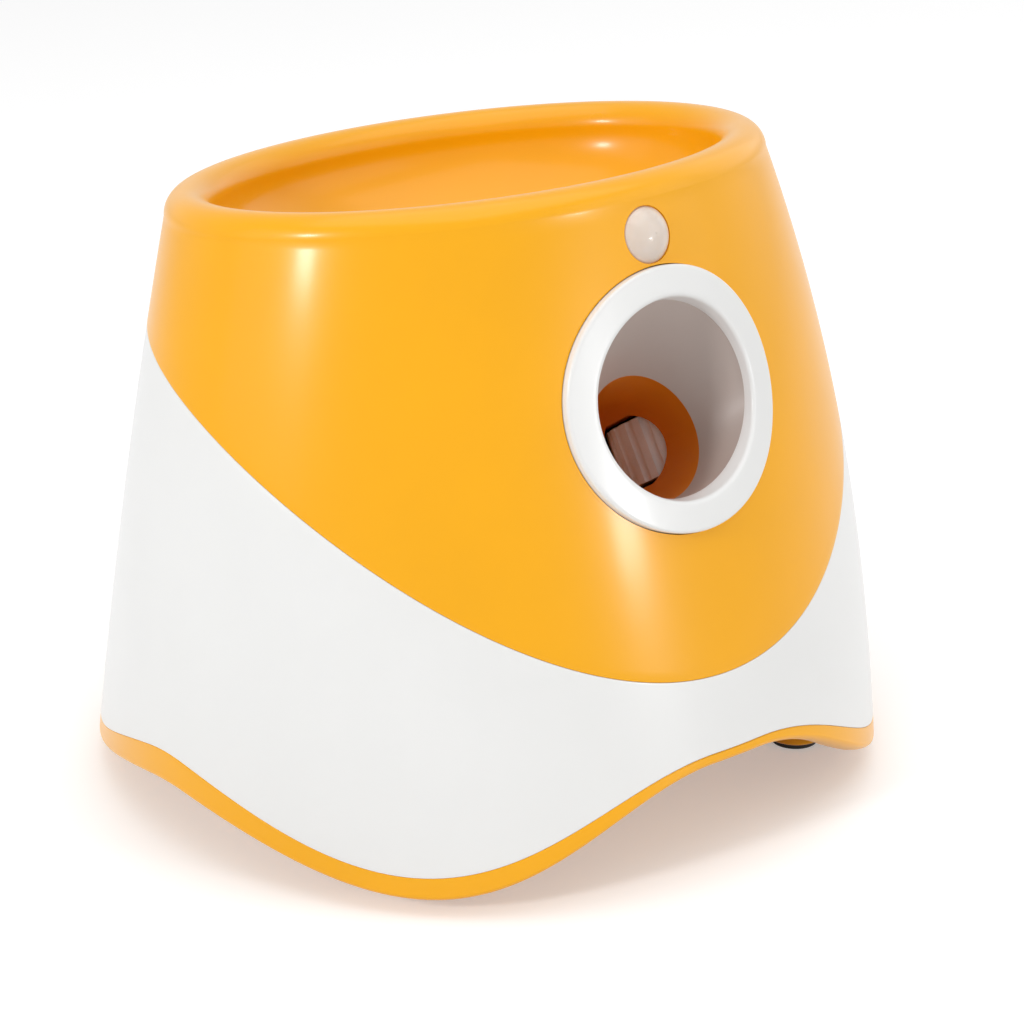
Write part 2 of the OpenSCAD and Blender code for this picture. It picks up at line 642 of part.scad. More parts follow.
bracket_x = 78;
bracket_t = 4;
bracket_front = launch_pt(6, deck_top - deck_t);
bracket_rear = launch_pt(deck_end - 4, deck_top - deck_t);
bracket_foot = [-52, 22];
bracket_flange = 16;
floor_top = floor_z + wall;
module bracket_outline() polygon([
  [bracket_front[1], bracket_front[2]], [bracket_rear[1], bracket_rear[2]], [bracket_rear[1], floor_top],
  [bracket_foot[0], floor_top], [bracket_front[1], bracket_front[2] - 14]]);
module bracket() difference() {
  union() {
    translate([bracket_x, 0, 0]) rotate([90, 0, 90]) linear_extrude(bracket_t) difference() {
      bracket_outline();
      polygon([[bracket_front[1] + 22, bracket_front[2] - 28], [bracket_rear[1] - 40, bracket_rear[2] + 12],
               [bracket_rear[1] - 36, floor_top + 9], [bracket_foot[0] + 2, floor_top + 9]]);
    }
    box([bracket_x - bracket_flange, bracket_foot[0], floor_top],
        [bracket_x + bracket_t, bracket_foot[1], floor_top + foot_t]);
  }
  bracket_screw_places() translate([0, 0, -cut]) cylinder(r = screw_r, h = 2 * foot_t, $fn = small_fn);
}
foot_t = 3;
module bracket_screw_places() for (y = [bracket_foot[0] + 10, bracket_foot[1] - 10])
  translate([bracket_x - bracket_flange / 2, y, floor_top]) children();
module right_bracket() color(grey) bracket();
module left_bracket() color(grey) mirror([1, 0, 0]) bracket();

// ---------------------------------------------------------------- launch wheels and motors
shaft_top = wheel_w / 2;
module at_right_wheel() at_launch() translate([wheel_x, wheel_y, 0]) children();
module at_left_wheel() at_launch() translate([-wheel_x, wheel_y, 0]) children();
bearing_len = 6;
module wheel_motor() translate([0, 0, deck_top - deck_t]) difference() {
  union() {
    translate([0, 0, -motor_len]) cylinder(r = motor_r, h = motor_len, $fn = turn_fn);
    cylinder(r = boss_r, h = boss_h, $fn = small_fn);
    translate([0, 0, -motor_len - boss_h]) cylinder(r = boss_r, h = boss_h + cut, $fn = small_fn);
    both_sides() translate([motor_r / 2 - 1.2, -0.4, -motor_len - 5]) cube([2.4, 0.8, 6]);
  }
  translate([0, 0, -motor_len + bearing_len])
    cylinder(r = motor_shaft_r + run_fit, h = motor_len + boss_h, $fn = small_fn);
  for (x = [-1, 1]) translate([x * motor_screw_x, 0, -bearing_len])
    cylinder(r = screw_r, h = bearing_len + cut, $fn = small_fn);
}
module right_motor() color(metal) at_right_wheel() wheel_motor();
module left_motor() color(metal) at_left_wheel() wheel_motor();

module wheel_shaft() {
  low = deck_top - deck_t - motor_len + bearing_len + 0.3;
  translate([0, 0, low]) cylinder(r = motor_shaft_r, h = shaft_top - low, $fn = small_fn);
}
module right_motor_shaft() color(metal) at_right_wheel() wheel_shaft();
module left_motor_shaft() color(metal) at_left_wheel() wheel_shaft();

rim_in_r = wheel_r - tread_t;
hub_r = 7;
web_t = 4;
rim_t = 3;
spoke_hole_r = 5;
module wheel_hub() difference() {
  union() {
    translate([0, 0, -wheel_w / 2]) difference() {
      cylinder(r = rim_in_r, h = wheel_w, $fn = turn_fn);
      translate([0, 0, -cut]) cylinder(r = rim_in_r - rim_t, h = wheel_w + 2 * cut, $fn = turn_fn);
    }
    translate([0, 0, -web_t / 2]) cylinder(r = rim_in_r - rim_t / 2, h = web_t, $fn = turn_fn);
    translate([0, 0, -wheel_w / 2 + 2]) cylinder(r = hub_r, h = wheel_w - 4, $fn = turn_fn);
  }
  translate([0, 0, -wheel_w]) cylinder(r = motor_shaft_r, h = 2 * wheel_w, $fn = small_fn);
  for (k = [0 : 5]) rotate(60 * k) translate([(hub_r + rim_in_r - rim_t) / 2, 0, -wheel_w])
    cylinder(r = spoke_hole_r, h = 2 * wheel_w, $fn = small_fn);
}
module right_wheel_hub() color(grey) at_right_wheel() wheel_hub();
module left_wheel_hub() color(grey) at_left_wheel() wheel_hub();

module wheel_tread() translate([0, 0, -wheel_w / 2]) difference() {
  cylinder(r = wheel_r, h = wheel_w, $fn = turn_fn);
  translate([0, 0, -cut]) cylinder(r = rim_in_r, h = wheel_w + 2 * cut, $fn = turn_fn);
  for (k = [0 : groove_count - 1]) rotate(360 * (k + 0.5) / groove_count)
    translate([wheel_r + groove_r / 2, 0, -cut])
    cylinder(r = groove_r, h = wheel_w + 2 * cut, $fn = small_fn);
}
module right_wheel_tread() color(white) at_right_wheel() wheel_tread();
module left_wheel_tread() color(white) at_left_wheel() wheel_tread();

// ---------------------------------------------------------------- feeder
pusher_gap = 0.4;
ball_r = 25.4;
dish_depth = 5;
pusher_y = feed_y + ball_r - dish_depth;
arm_y = pusher_y;
arm_len = 12;
arm_half = 4;
rack_pitch = PI * rack_module;
rack_line = chamber_half + 7;
rack_back = chamber_half + 1;
rack_gear_r = rack_gear_teeth * rack_module / 2;
large_gear_r = large_gear_teeth * pair_module / 2;
pinion_r = pinion_teeth * pair_module / 2;
gear_x = rack_line + rack_gear_r;
gear_y = pusher_y + 6;
pair_turn = 55;
pinion_x = gear_x + (large_gear_r + pinion_r) * cos(pair_turn);
pinion_y = gear_y + (large_gear_r + pinion_r) * sin(pair_turn);
mesh_play = 0.12;
pressure = 20;
rack_reach = ceil((pusher_stroke + rack_pitch) / rack_pitch);

// Involute gear outline with a tooth centred on +X
function roll_angle(a) = tan(a) * 180 / PI - a;
function half_tooth(r, teeth, m) =
  let (pitch_r = teeth * m / 2, base_r = pitch_r * cos(pressure), a = acos(min(1, base_r / r)))
  90 / teeth - mesh_play / (2 * pitch_r) * 180 / PI + roll_angle(pressure) - roll_angle(a);
flank_steps = 3;
function gear_points(teeth, m) =
  let (pitch_r = teeth * m / 2, root_r = pitch_r - 1.2 * m, tip_r = pitch_r + 0.95 * m,
       low_r = max(pitch_r * cos(pressure), root_r),
       radii = concat([root_r], [for (k = [0 : flank_steps]) mix(low_r + 0.001, tip_r, k / flank_steps)]))
  [for (i = [0 : teeth - 1]) each concat(
    [for (r = radii) spoke(r, 360 * i / teeth - half_tooth(max(r, low_r), teeth, m))],
    [for (r = reversed(radii)) spoke(r, 360 * i / teeth + half_tooth(max(r, low_r), teeth, m))])];
function spoke(r, a) = r * [cos(a), sin(a)];

module rack_tooth() polygon([
  for (p = [[-1.2, 1], [0.95, 1], [0.95, -1], [-1.2, -1]])
  [rack_line + p[0] * rack_module,
   p[1] * (rack_pitch / 4 - mesh_play / 2 - p[0] * rack_module * tan(pressure))]]);

module feed_pusher() color(white) at_launch() union() {
  difference() {
    translate([0, pusher_y, 0]) rotate([-90, 0, 0])
      cylinder(r = channel_r - pusher_gap, h = pusher_len, $fn = turn_fn);
    translate([0, pusher_y - ball_r + dish_depth, 0]) sphere(r = ball_r, $fn = turn_fn);
    translate([0, pusher_y + dish_depth + 3, 0]) rotate([-90, 0, 0])
      cylinder(r = channel_r - pusher_gap - 3, h = pusher_len, $fn = turn_fn);
  }
  box([channel_r - pusher_gap - 2.5, arm_y, -arm_half], [rack_back + 1, arm_y + arm_len, arm_half]);
  translate([0, 0, -arm_half]) linear_extrude(2 * arm_half) {
    translate([rack_back, arm_y]) square([rack_line - 1.1 * rack_module - rack_back, rack_length]);
    for (k = [-1 : rack_reach - 1]) translate([0, gear_y + (k + 0.5) * rack_pitch]) rack_tooth();
  }
}
rack_length = gear_y - arm_y + rack_reach * rack_pitch;

large_low = -13;
gear_w = 6;
module rack_gear() color(white) at_launch() translate([gear_x, gear_y, 0]) difference() {
  union() {
    translate([0, 0, -arm_half]) linear_extrude(2 * arm_half)
      polygon(gear_points(rack_gear_teeth, rack_module));
    translate([0, 0, large_low]) linear_extrude(gear_w)
      rotate(pair_turn) polygon(gear_points(large_gear_teeth, pair_module));
    translate([0, 0, large_low - 2]) cylinder(r = 2 * axle_r, h = -large_low + 6, $fn = small_fn);
  }
  translate([0, 0, large_low - 3]) cylinder(r = axle_r + run_fit, h = 30, $fn = small_fn);
}
cover_low = 6;
cover_t = 3;
module gear_axle() color(metal) at_launch() translate([gear_x, gear_y, deck_top - deck_t])
  cylinder(r = axle_r, h = cover_low + cover_t - deck_top + deck_t, $fn = small_fn);

cover_legs = [[gear_x + 23, gear_y - 22], [gear_x + 23, gear_y + 38], [gear_x - 3, gear_y + 38]];
leg_r = 3.5;
leg_screw_len = 12;
feed_motor_r = 12;
feed_motor_len = 44;
module gear_cover() color(grey) at_launch() difference() {
  union() {
    translate([0, 0, cover_low]) linear_extrude(cover_t) polygon([
      cover_legs[2] + [-leg_r, leg_r + 1], cover_legs[2] + [-leg_r, -10], [gear_x - 10, gear_y - 10],
      cover_legs[0] + [-6, -leg_r - 1], cover_legs[0] + [leg_r + 1, -leg_r - 1],
      cover_legs[1] + [leg_r + 1, leg_r + 1], cover_legs[1] + [-leg_r, leg_r + 1]]);
    for (p = cover_legs) translate([p[0], p[1], deck_top])
      cylinder(r = leg_r, h = cover_low - deck_top + 1, $fn = small_fn);
  }
  translate([gear_x, gear_y, 0]) cylinder(r = axle_r, h = 20, $fn = small_fn);
  for (p = cover_legs) translate([p[0], p[1], deck_top - cut])
    cylinder(r = screw_r, h = leg_screw_len, $fn = small_fn);
  translate([pinion_x, pinion_y, 0]) cylinder(r = feed_boss_r + slide_fit, h = 20, $fn = small_fn);
}
feed_boss_r = 4;
feed_gearbox_len = 18;
module feed_motor() color(metal) at_launch() at_pinion() translate([0, 0, cover_low + cover_t]) difference() {
  union() {
    cylinder(r = feed_motor_r, h = feed_gearbox_len, $fn = turn_fn);
    cylinder(r = feed_motor_r - 1, h = feed_motor_len, $fn = turn_fn);
    translate([0, 0, -cover_t + 1]) cylinder(r = feed_boss_r, h = cover_t, $fn = small_fn);
  }
  translate([0, 0, -cover_t])
    cylinder(r = axle_r + run_fit, h = cover_t + feed_gearbox_len - 2, $fn = small_fn);
}
module at_pinion() translate([pinion_x, pinion_y, 0]) children();
module feed_motor_shaft() color(metal) at_launch() at_pinion() translate([0, 0, large_low - 1])
  cylinder(r = axle_r, h = cover_low + cover_t - large_low + feed_gearbox_len - 3, $fn = small_fn);
module feed_motor_pinion() color(metal) at_launch() at_pinion() translate([0, 0, large_low]) difference() {
  linear_extrude(gear_w) rotate(pair_turn + 180 + 180 / pinion_teeth)
    polygon(gear_points(pinion_teeth, pair_module));
  translate([0, 0, -cut]) cylinder(r = axle_r, h = gear_w + 2 * cut, $fn = small_fn);
}

// ---------------------------------------------------------------- power
box_wall = 2;
cell_gap = 0.5;
battery_in = [2 * cell_len + 4, 2 * cell_d + 3 * cell_gap, cell_d + 2];
battery_half = [battery_in[0] / 2, battery_in[1] / 2];
module battery_box() color(dark) translate([0, battery_y, floor_top]) difference() {
  box([-battery_half[0] - box_wall, -battery_half[1] - box_wall, 0],
      [battery_half[0] + box_wall, battery_half[1] + box_wall, battery_in[2] + box_wall]);
  box([-battery_half[0], -battery_half[1], -cut], [battery_half[0], battery_half[1], battery_in[2]]);
}
cell_z = floor_top + battery_in[2] - cell_d / 2 - 1;
module battery_cells() color(dark) for (x = [-cell_len - cell_gap, cell_gap], y = [-1, 1])
  translate([x, battery_y + y * (cell_d + cell_gap) / 2, cell_z]) rotate([0, 90, 0]) {
    cylinder(r = cell_d / 2, h = cell_len - 2, $fn = turn_fn);
    translate([0, 0, cell_len - 2]) cylinder(r = 3.5, h = 1.5, $fn = small_fn);
  }
module battery_contacts() color(metal) translate([0, battery_y, 0]) both_sides() for (y = [-1, 1])
  translate([battery_half[0] - 0.5, y * (cell_d + cell_gap) / 2 - 6, cell_z - 6]) cube([0.5, 12, 12]);
// The door lies flush in a recess of the underside and two screws hold it
door_t = 1.6;
door_lip = 4;
door_boss_r = 4;
door_boss_h = 9;
door_tab = 10;
door_screw_y = battery_half[1] + box_wall + door_boss_r + 0.6;
module door_screw_places() for (y = [-1, 1]) translate([0, battery_y + y * door_screw_y, 0]) children();
module battery_opening() box(
  [-battery_half[0], battery_y - battery_half[1], floor_z - wall],
  [battery_half[0], battery_y + battery_half[1], floor_top + cut]);
module door_outline(grow) {
  square(2 * [battery_half[0] + door_lip + grow, battery_half[1] + door_lip + grow], center = true);
  square(2 * [door_tab + grow, door_screw_y + door_tab / 2 + grow], center = true);
}
module door_recess() translate([0, battery_y, floor_z - 2 * wall]) linear_extrude(2 * wall + door_t)
  door_outline(slide_fit);
module battery_door() color(orange) translate([0, battery_y, floor_z]) difference() {
  union() {
    linear_extrude(door_t) door_outline(0);
    translate([0, 0, door_t / 2]) linear_extrude(door_t / 2 + 1)
      square([2 * battery_half[0] - 2 * slide_fit, 2 * battery_half[1] - 2 * slide_fit], center = true);
  }
  for (y = [-1, 1]) translate([0, y * door_screw_y, -cut])
    cylinder(r = screw_r + screw_gap, h = 2 * wall, $fn = small_fn);
}

// ---------------------------------------------------------------- controls on the back
back_r = pow(half_w(panel_s), 2) / half_d(panel_s);
module back_drum(grow) translate([0, 0, -back_r]) rotate([90, 0, 0])
  cylinder(r = back_r + grow, h = 3 * panel_h, center = true, $fn = 4 * turn_fn);
panel_depth = 10;
rocker_at = [0, 0];
button_at = [-26, -5];
inlet_at = [27, 0];
lights_at = [-26, 9];
rocker_w = 13;
rocker_r = 9.5;
rocker_gap = 0.6;
rocker_axle_r = 1.3;
rocker_axle_z = -3;
rocker_tilt = 8;
button_r = 5;
button_flange = 1.5;
inlet_r = 5.5;
light_r = 1.5;
light_pitch = 6;
panel_skin = 6.5;
module control_panel() color(grey) at_panel() difference() {
  intersection() {
    back_drum(panel_proud);
    box([-panel_w / 2, -panel_h / 2, -panel_depth], [panel_w / 2, panel_h / 2, panel_depth]);
  }
  box([-panel_w / 2 + 2, -panel_h / 2 + 2, -panel_depth - cut],
      [panel_w / 2 - 2, panel_h / 2 - 2, -panel_skin]);
  box([-rocker_w / 2 - slide_fit, -rocker_r - rocker_gap, -panel_depth],
      [rocker_w / 2 + slide_fit, rocker_r + rocker_gap, panel_depth]);
  rocker_axle(rocker_axle_r + run_fit, rocker_w / 2 + 3);
  translate([button_at[0], button_at[1], -panel_depth])
    cylinder(r = button_r + slide_fit, h = 2 * panel_depth, $fn = small_fn);
  translate([inlet_at[0], inlet_at[1], -panel_depth])
    cylinder(r = inlet_r, h = 2 * panel_depth, $fn = small_fn);
  at_lights() cylinder(r = light_r, h = 2 * panel_depth, $fn = small_fn);
}
module at_lights() for (k = [-1 : 1])
  translate([lights_at[0] + light_pitch * k, lights_at[1], -panel_depth]) children();
module rocker_axle(r, half_len) translate([-half_len, 0, rocker_axle_z]) rotate([0, 90, 0])
  cylinder(r = r, h = 2 * half_len, $fn = small_fn);
board_size = [76, 36, 1.6];
board_chip = [10, 10, 1.4];
module control_board() at_panel() translate([0, 0, -panel_depth]) {
  color(green) translate([-board_size[0] / 2, -board_size[1] / 2, -board_size[2]]) cube(board_size);
  color(dark) translate([-board_chip[0] / 2, -board_chip[1] / 2, -board_size[2] - board_chip[2]])
    cube(board_chip + [0, 0, 0.2]);
}
// The rocker turns on its own axle; its ends are round, so its tilt keeps the gap
module power_rocker() color(dark) at_panel() {
  rocker_axle(rocker_axle_r, rocker_w / 2 + 2.6);
  translate([-rocker_w / 2, 0, rocker_axle_z]) rotate([rocker_tilt, 0, 0]) rotate([90, 0, 90])
    linear_extrude(rocker_w) intersection() {
      circle(r = rocker_r, $fn = turn_fn);
      polygon([[-rocker_r, -3], [rocker_r, -3], [rocker_r, 6.5], [0, 4.6], [-rocker_r, 6.5]]);
    }
}
module distance_button() color(orange) at_panel() translate([button_at[0], button_at[1], 0]) {
  translate([0, 0, -panel_skin - 1]) cylinder(r = button_r, h = panel_skin + 2.2, $fn = turn_fn);
  translate([0, 0, -panel_skin - 0.2 - button_flange])
    cylinder(r = button_r + 1.5, h = button_flange, $fn = turn_fn);
}
module range_lights() color([0.5, 0.9, 0.5]) at_panel() at_lights()
  cylinder(r = light_r, h = panel_depth + 0.6, $fn = small_fn);
inlet_bore_r = 2.75;
inlet_mouth_r = 4.2;
inlet_pin_r = 1;
inlet_floor = 2;
module dc_inlet() color(dark) at_panel() translate([inlet_at[0], inlet_at[1], -panel_depth]) union() {
  difference() {
    cylinder(r = inlet_r, h = panel_depth, $fn = small_fn);
    translate([0, 0, inlet_floor]) cylinder(r = inlet_bore_r, h = 2 * panel_depth, $fn = small_fn);
    translate([0, 0, panel_depth - 2]) cylinder(r = inlet_mouth_r, h = panel_depth, $fn = small_fn);
  }
  translate([0, 0, inlet_floor / 2])
    cylinder(r = inlet_pin_r, h = panel_depth - 2 - inlet_floor / 2, $fn = small_fn);
}

// ---------------------------------------------------------------- screws
module case_screws() color(metal) at_feet() translate([0, 0, head_room]) screw(30);
module seam_screws() color(metal) at_lugs() translate([-lug_in, 0, -lug_h]) screw(lug_h + 10);
module bracket_screws() color(metal) both_sides() bracket_screw_places() translate([0, 0, -wall]) screw(7);
module deck_screws() color(metal) at_launch() ear_screw_places()
  translate([0, 0, ear_t]) rotate([180, 0, 0]) screw(7);
module motor_screws() color(metal) at_launch() motor_places() for (x = [-1, 1])
  translate([x * motor_screw_x, 0, deck_top]) rotate([180, 0, 0]) screw(7);
module chute_screws() color(metal) at_launch() chute_screw_places()
  translate([0, 0, chute_foot_t]) rotate([180, 0, 0]) screw(5.5);
module cap_screws() color(metal) at_launch() cap_screw_places([-1, 1]) translate([0, 0, -cap_t]) screw(12);
module cover_screws() color(metal) at_launch() for (p = cover_legs)
  translate([p[0], p[1], deck_top - deck_t]) screw(12);
module door_screws() color(metal) door_screw_places() translate([0, 0, floor_z]) screw(7);

placed() upper_shell();
placed() mid_shell();
placed() base_tub();
placed() foot_pads();
placed() muzzle_ring();
placed() muzzle_nozzle();
placed() sensor_lens();
placed() sensor_board();
placed() drop_chute();
placed() chamber_upper();
placed() chamber_lower();
placed() chamber_cap();
placed() ball_sensors();
placed() launch_deck();
placed() left_bracket();
placed() right_bracket();
placed() left_motor();
placed() right_motor();
placed() left_motor_shaft();
placed() right_motor_shaft();
placed() left_wheel_hub();
placed() right_wheel_hub();
placed() left_wheel_tread();
placed() right_wheel_tread();
placed() feed_pusher();
placed() rack_gear();
placed() gear_axle();
placed() gear_cover();
placed() feed_motor();
placed() feed_motor_shaft();
placed() feed_motor_pinion();
placed() battery_box();
placed() battery_door();
placed() battery_cells();
placed() battery_contacts();
placed() control_panel();
placed() control_board();
placed() power_rocker();
placed() distance_button();
placed() range_lights();
placed() dc_inlet();
placed() case_screws();
placed() seam_screws();
placed() bracket_screws();
placed() deck_screws();
placed() motor_screws();
placed() chute_screws();
placed() cap_screws();
placed() cover_screws();
placed() door_screws();
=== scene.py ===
import json
import math
import bpy
import bmesh
import numpy as np
from mathutils import Vector, Matrix
from mathutils.bvhtree import BVHTree


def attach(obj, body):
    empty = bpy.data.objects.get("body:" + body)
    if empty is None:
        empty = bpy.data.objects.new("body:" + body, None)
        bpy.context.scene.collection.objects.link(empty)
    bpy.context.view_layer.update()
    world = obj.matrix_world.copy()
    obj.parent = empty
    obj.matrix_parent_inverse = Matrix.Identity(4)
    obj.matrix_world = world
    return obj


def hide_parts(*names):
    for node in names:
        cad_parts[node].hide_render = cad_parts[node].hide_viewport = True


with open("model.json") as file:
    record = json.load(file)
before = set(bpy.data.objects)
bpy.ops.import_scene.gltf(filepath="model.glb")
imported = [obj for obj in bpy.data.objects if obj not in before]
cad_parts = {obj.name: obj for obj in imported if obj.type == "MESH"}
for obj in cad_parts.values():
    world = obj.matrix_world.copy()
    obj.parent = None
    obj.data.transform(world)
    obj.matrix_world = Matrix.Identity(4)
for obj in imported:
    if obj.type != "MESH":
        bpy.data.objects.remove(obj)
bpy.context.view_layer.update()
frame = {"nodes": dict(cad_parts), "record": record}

NODES = frame["nodes"]

# ------------------------------------------------------------------ sizes of the part, in mm and degrees
BASE_W, BASE_D = 334, 349            # the section at the floor, before the wavy edge cuts it away
RIM_W, RIM_D = 269, 213              # the section where the rim begins to roll
BODY_H = 252
RIM_TILT = 6.8                       # the rim rises towards the front
RIM_SHIFT, WAIST_SHIFT = 8.5, 8.1    # how far the section moves back at the rim, and forward at the waist
SIDE_BULGE, END_DRAW = 12.8, 4.8
RIM_ROLL = 9.8
WALL = 3.0
FIT = 0.4                            # room round a piece that is let into a wall

# Parting lines and lower edge, as shares of the height. The upper line is a mean with waves of one, two
# and three to the turn, and the two below are a mean with a wave of two to the turn.
UPPER_SEAM = (0.672, -0.259, -0.083, -0.011)
LOWER_SEAM = (0.194, 0.014)
LOWER_EDGE = (0.164, 0.034)
SEAM_AT_FOOT, EDGE_AT_FOOT = 0.068, 0.038
SEAM_SHOWN, SEAM_ROUND = 0.1, 0.3    # gap at a parting line, and rounding of its edges

FLOOR_Z = 48.0                       # the tub's closed underside
EDGE_CURL = 4.0
CURL_SHARE, FLAT_SHARE = 0.94, 0.65  # where the underside begins to curl up, and how far it is flat
FOOT_AZ, FOOT_SPREAD, FOOT_SHARE = 49.0, 45.0, 0.8
PAD_R, PAD_RECESS = 10.0, 4.0
BOSS_RIM, BOSS_CHAMFER, BOSS_TOP = 3.0, 0.5, 25.0
POST_R, POST_TOP, SCREW_R = 7.0, 40.0, 1.7

THROAT_R, THROAT_LEN, THROAT_ROUND = 28.5, 8.0, 5.0
THROAT_RISE = 70.0                   # from the ball's place in front of the pusher to the throat
BOWL_SWEEP = 65.0                    # degrees of the arc that the bowl's wall follows

MUZZLE_S = 0.72                      # height of the mouth's middle, as a share of the wall
RING_R, MOUTH_R, PROUD, RECESS = 52.9, 39.2, 3.0, 4.5
RING_ROUND, LIP_FLARE, LIP_ROUND = 1.3, 1.2, 2.0
LIP_OVER = 1.0                       # how far past the ring's face the cone of the lip is drawn
SKIRT_DEPTH, SKIRT_T = 12.0, 3.0
LIP_BACK, RING_BACK = 6.0, 8.0
LIP_SKIRT = (4.0, 6.0)               # inner and outer side of the lip's skirt, from the mouth's radius
NOZZLE_BACK, NOZZLE_DROP, NOZZLE_GAP, NOZZLE_T = 20.0, 22.5, 1.5, 3.0
LAUNCH_ANGLE, CHANNEL_R, FEED_Y = 33.0, 26.5, 84.0
LENS_S, LENS_R, LENS_FIT, LENS_SEAT = 0.955, 11.3, 0.2, 1.5
PANEL_S, PANEL_W, PANEL_H = 0.42, 84.0, 42.0
BATTERY_Y, BATTERY_HALF = 60.0, (52.0, 26.75)
DOOR_LIP, DOOR_T, DOOR_TAB_AT, DOOR_TAB = 4.0, 1.6, 6.6, (10.0, 5.0)
BOX_SHIFT = 3.5                      # to the frame's origin, which is under the middle of the whole box

# From where to where a hole is cut, measured outwards from the wall's outside or up from the underside
RING_CUT, LENS_CUT, LENS_SIGHT_CUT = (-13, 14), (-1, 9), (-12, 9)
PANEL_CUT, BATTERY_CUT = (-18, 18), (-8, 7)

# Fineness of the meshes
TURN = 288                           # columns of the shells
UPPER_ROWS, BOWL_ROWS, MIDDLE_ROWS, BAND_ROWS = 40, 44, 56, 16
ROLL_STEP, THROAT_STEP = 6, 18       # degrees between the rows of the rim's roll and of the throat's edge
EDGE_ANGLES = (90, 67.5, 45, 22.5, 0)
SMOOTH_ANGLE, BOSS_SHARP, MUZZLE_SHARP = 32, 35, 40
LEAN_STEP = 0.03                     # share of the height, up and down, that the wall's lean is taken over
NEAR_SKIN, SAME_WAY = 2e-5, 0.9      # metres and cosine within which a cut face keeps its old normals


def sind(a):
    return np.sin(np.radians(a))


def cosd(a):
    return np.cos(np.radians(a))


def mix(a, b, t):
    return a + (b - a) * t


def arch(s):
    return 4 * s * (1 - s)


def half_w(s):
    return mix(BASE_W, RIM_W, s) / 2 + SIDE_BULGE * arch(s)


def half_d(s):
    return mix(BASE_D, RIM_D, s) / 2 - END_DRAW * arch(s)


def mid_y(s):
    return RIM_SHIFT * s - WAIST_SHIFT * arch(s)


def wall_pt(u, s):
    """Point of the outer wall at azimuth u, which is 0 in front, and at share s of the height."""
    u, s = np.broadcast_arrays(np.asarray(u, float), np.asarray(s, float))
    y = -half_d(s) * cosd(u)
    z = BODY_H * s - y * math.tan(math.radians(RIM_TILT)) * np.power(s, 1.5)
    return np.stack([half_w(s) * sind(u), mid_y(s) + y, z], -1)


def wall_lean(u, s):
    d = wall_pt(u, s + LEAN_STEP) - wall_pt(u, s - LEAN_STEP)
    return math.degrees(math.atan2(abs(d[1]), d[2]))


def smooth(t):
    t = np.clip(t, 0, 1)
    return t * t * (3 - 2 * t)


def dip(t):
    return np.where(np.abs(t) < 1, (np.cos(np.pi * t) + 1) / 2, 0)


def foot(u):
    """1 at the azimuth of a foot, and 0 away from all four."""
    f = np.abs(np.where(u > 180, u - 360, u))
    return np.clip(dip((f - FOOT_AZ) / FOOT_SPREAD) + dip((180 - f - FOOT_AZ) / FOOT_SPREAD), 0, 1)


def upper_seam(u):
    mean, one, two, three = UPPER_SEAM
    return mean + one * cosd(u) + two * cosd(2 * u) + three * cosd(3 * u)


def lower_seam(u):
    return mix(LOWER_SEAM[0] + LOWER_SEAM[1] * cosd(2 * u), SEAM_AT_FOOT, foot(u))


def base_edge(u):
    return mix(LOWER_EDGE[0] + LOWER_EDGE[1] * cosd(2 * u), EDGE_AT_FOOT, foot(u))


# ------------------------------------------------------------------ places and frames (mm)
MUZZLE_AT = wall_pt(0.0, MUZZLE_S)
MUZZLE_LEAN = wall_lean(0.0, MUZZLE_S)
LAUNCH_AT = np.array([0, MUZZLE_AT[1] + NOZZLE_BACK, MUZZLE_AT[2] - NOZZLE_DROP])
LENS_AT = wall_pt(0.0, LENS_S)
LENS_LEAN = wall_lean(0.0, LENS_S)
PANEL_AT = wall_pt(180.0, PANEL_S)
PANEL_LEAN = wall_lean(180.0, PANEL_S)
FEED = LAUNCH_AT + FEED_Y * np.array([0, cosd(LAUNCH_ANGLE), -sind(LAUNCH_ANGLE)])
THROAT_Z = FEED[2] + THROAT_RISE


def place(at, lean, back=False):
    """Frame whose +Z leaves the wall and whose +Y runs up along it, in metres."""
    m = Matrix.Translation(Vector(at) / 1000)
    if back:
        m = m @ Matrix.Rotation(math.pi, 4, "Z")
    return m @ Matrix.Rotation(math.radians(90 - lean), 4, "X")


TO_FRAME = Matrix.Translation((0, BOX_SHIFT / 1000, 0))
AT_MUZZLE = place(MUZZLE_AT, MUZZLE_LEAN)
AT_LENS = place(LENS_AT, LENS_LEAN)
AT_PANEL = place(PANEL_AT, PANEL_LEAN, True)

# ------------------------------------------------------------------ mesh helpers
UU = np.arange(TURN) * 360.0 / TURN      # azimuths of the columns


def mesh_mm(name, verts, faces, matrix=None):
    """Mesh from vertices in millimetres of the form's own frame, moved to the frame of the part."""
    me = bpy.data.meshes.new(name)
    me.from_pydata([tuple(v) for v in np.asarray(verts) * 0.001], [], faces)
    if matrix:
        me.transform(matrix)
    me.transform(TO_FRAME)
    return me


def link(name, me):
    ob = bpy.data.objects.new(name, me)
    bpy.context.scene.collection.objects.link(ob)
    return ob


def new_object(name, verts, faces, replaces=None):
    """Visible piece of the housing, from vertices in millimetres."""
    me = mesh_mm(name, verts, faces)
    me.validate()
    ob = link(name, me)
    for p in me.polygons:
        p.use_smooth = True
    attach(ob, "housing")
    if replaces:
        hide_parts(replaces)
    return ob


def loop_faces(m, n, close_rows=True):
    """Quads between consecutive rows of n points."""
    out = []
    for j in range(m if close_rows else m - 1):
        a, b = j * n, ((j + 1) % m) * n
        for i in range(n):
            k = (i + 1) % n
            out.append((a + i, a + k, b + k, b + i))
    return out


def grid_normals(g):
    up = np.empty_like(g)
    up[1:-1] = g[2:] - g[:-2]
    up[0] = g[1] - g[0]
    up[-1] = g[-1] - g[-2]
    along = np.roll(g, -1, 1) - np.roll(g, 1, 1)
    c = np.cross(along, up)
    return c / np.linalg.norm(c, axis=-1, keepdims=True)


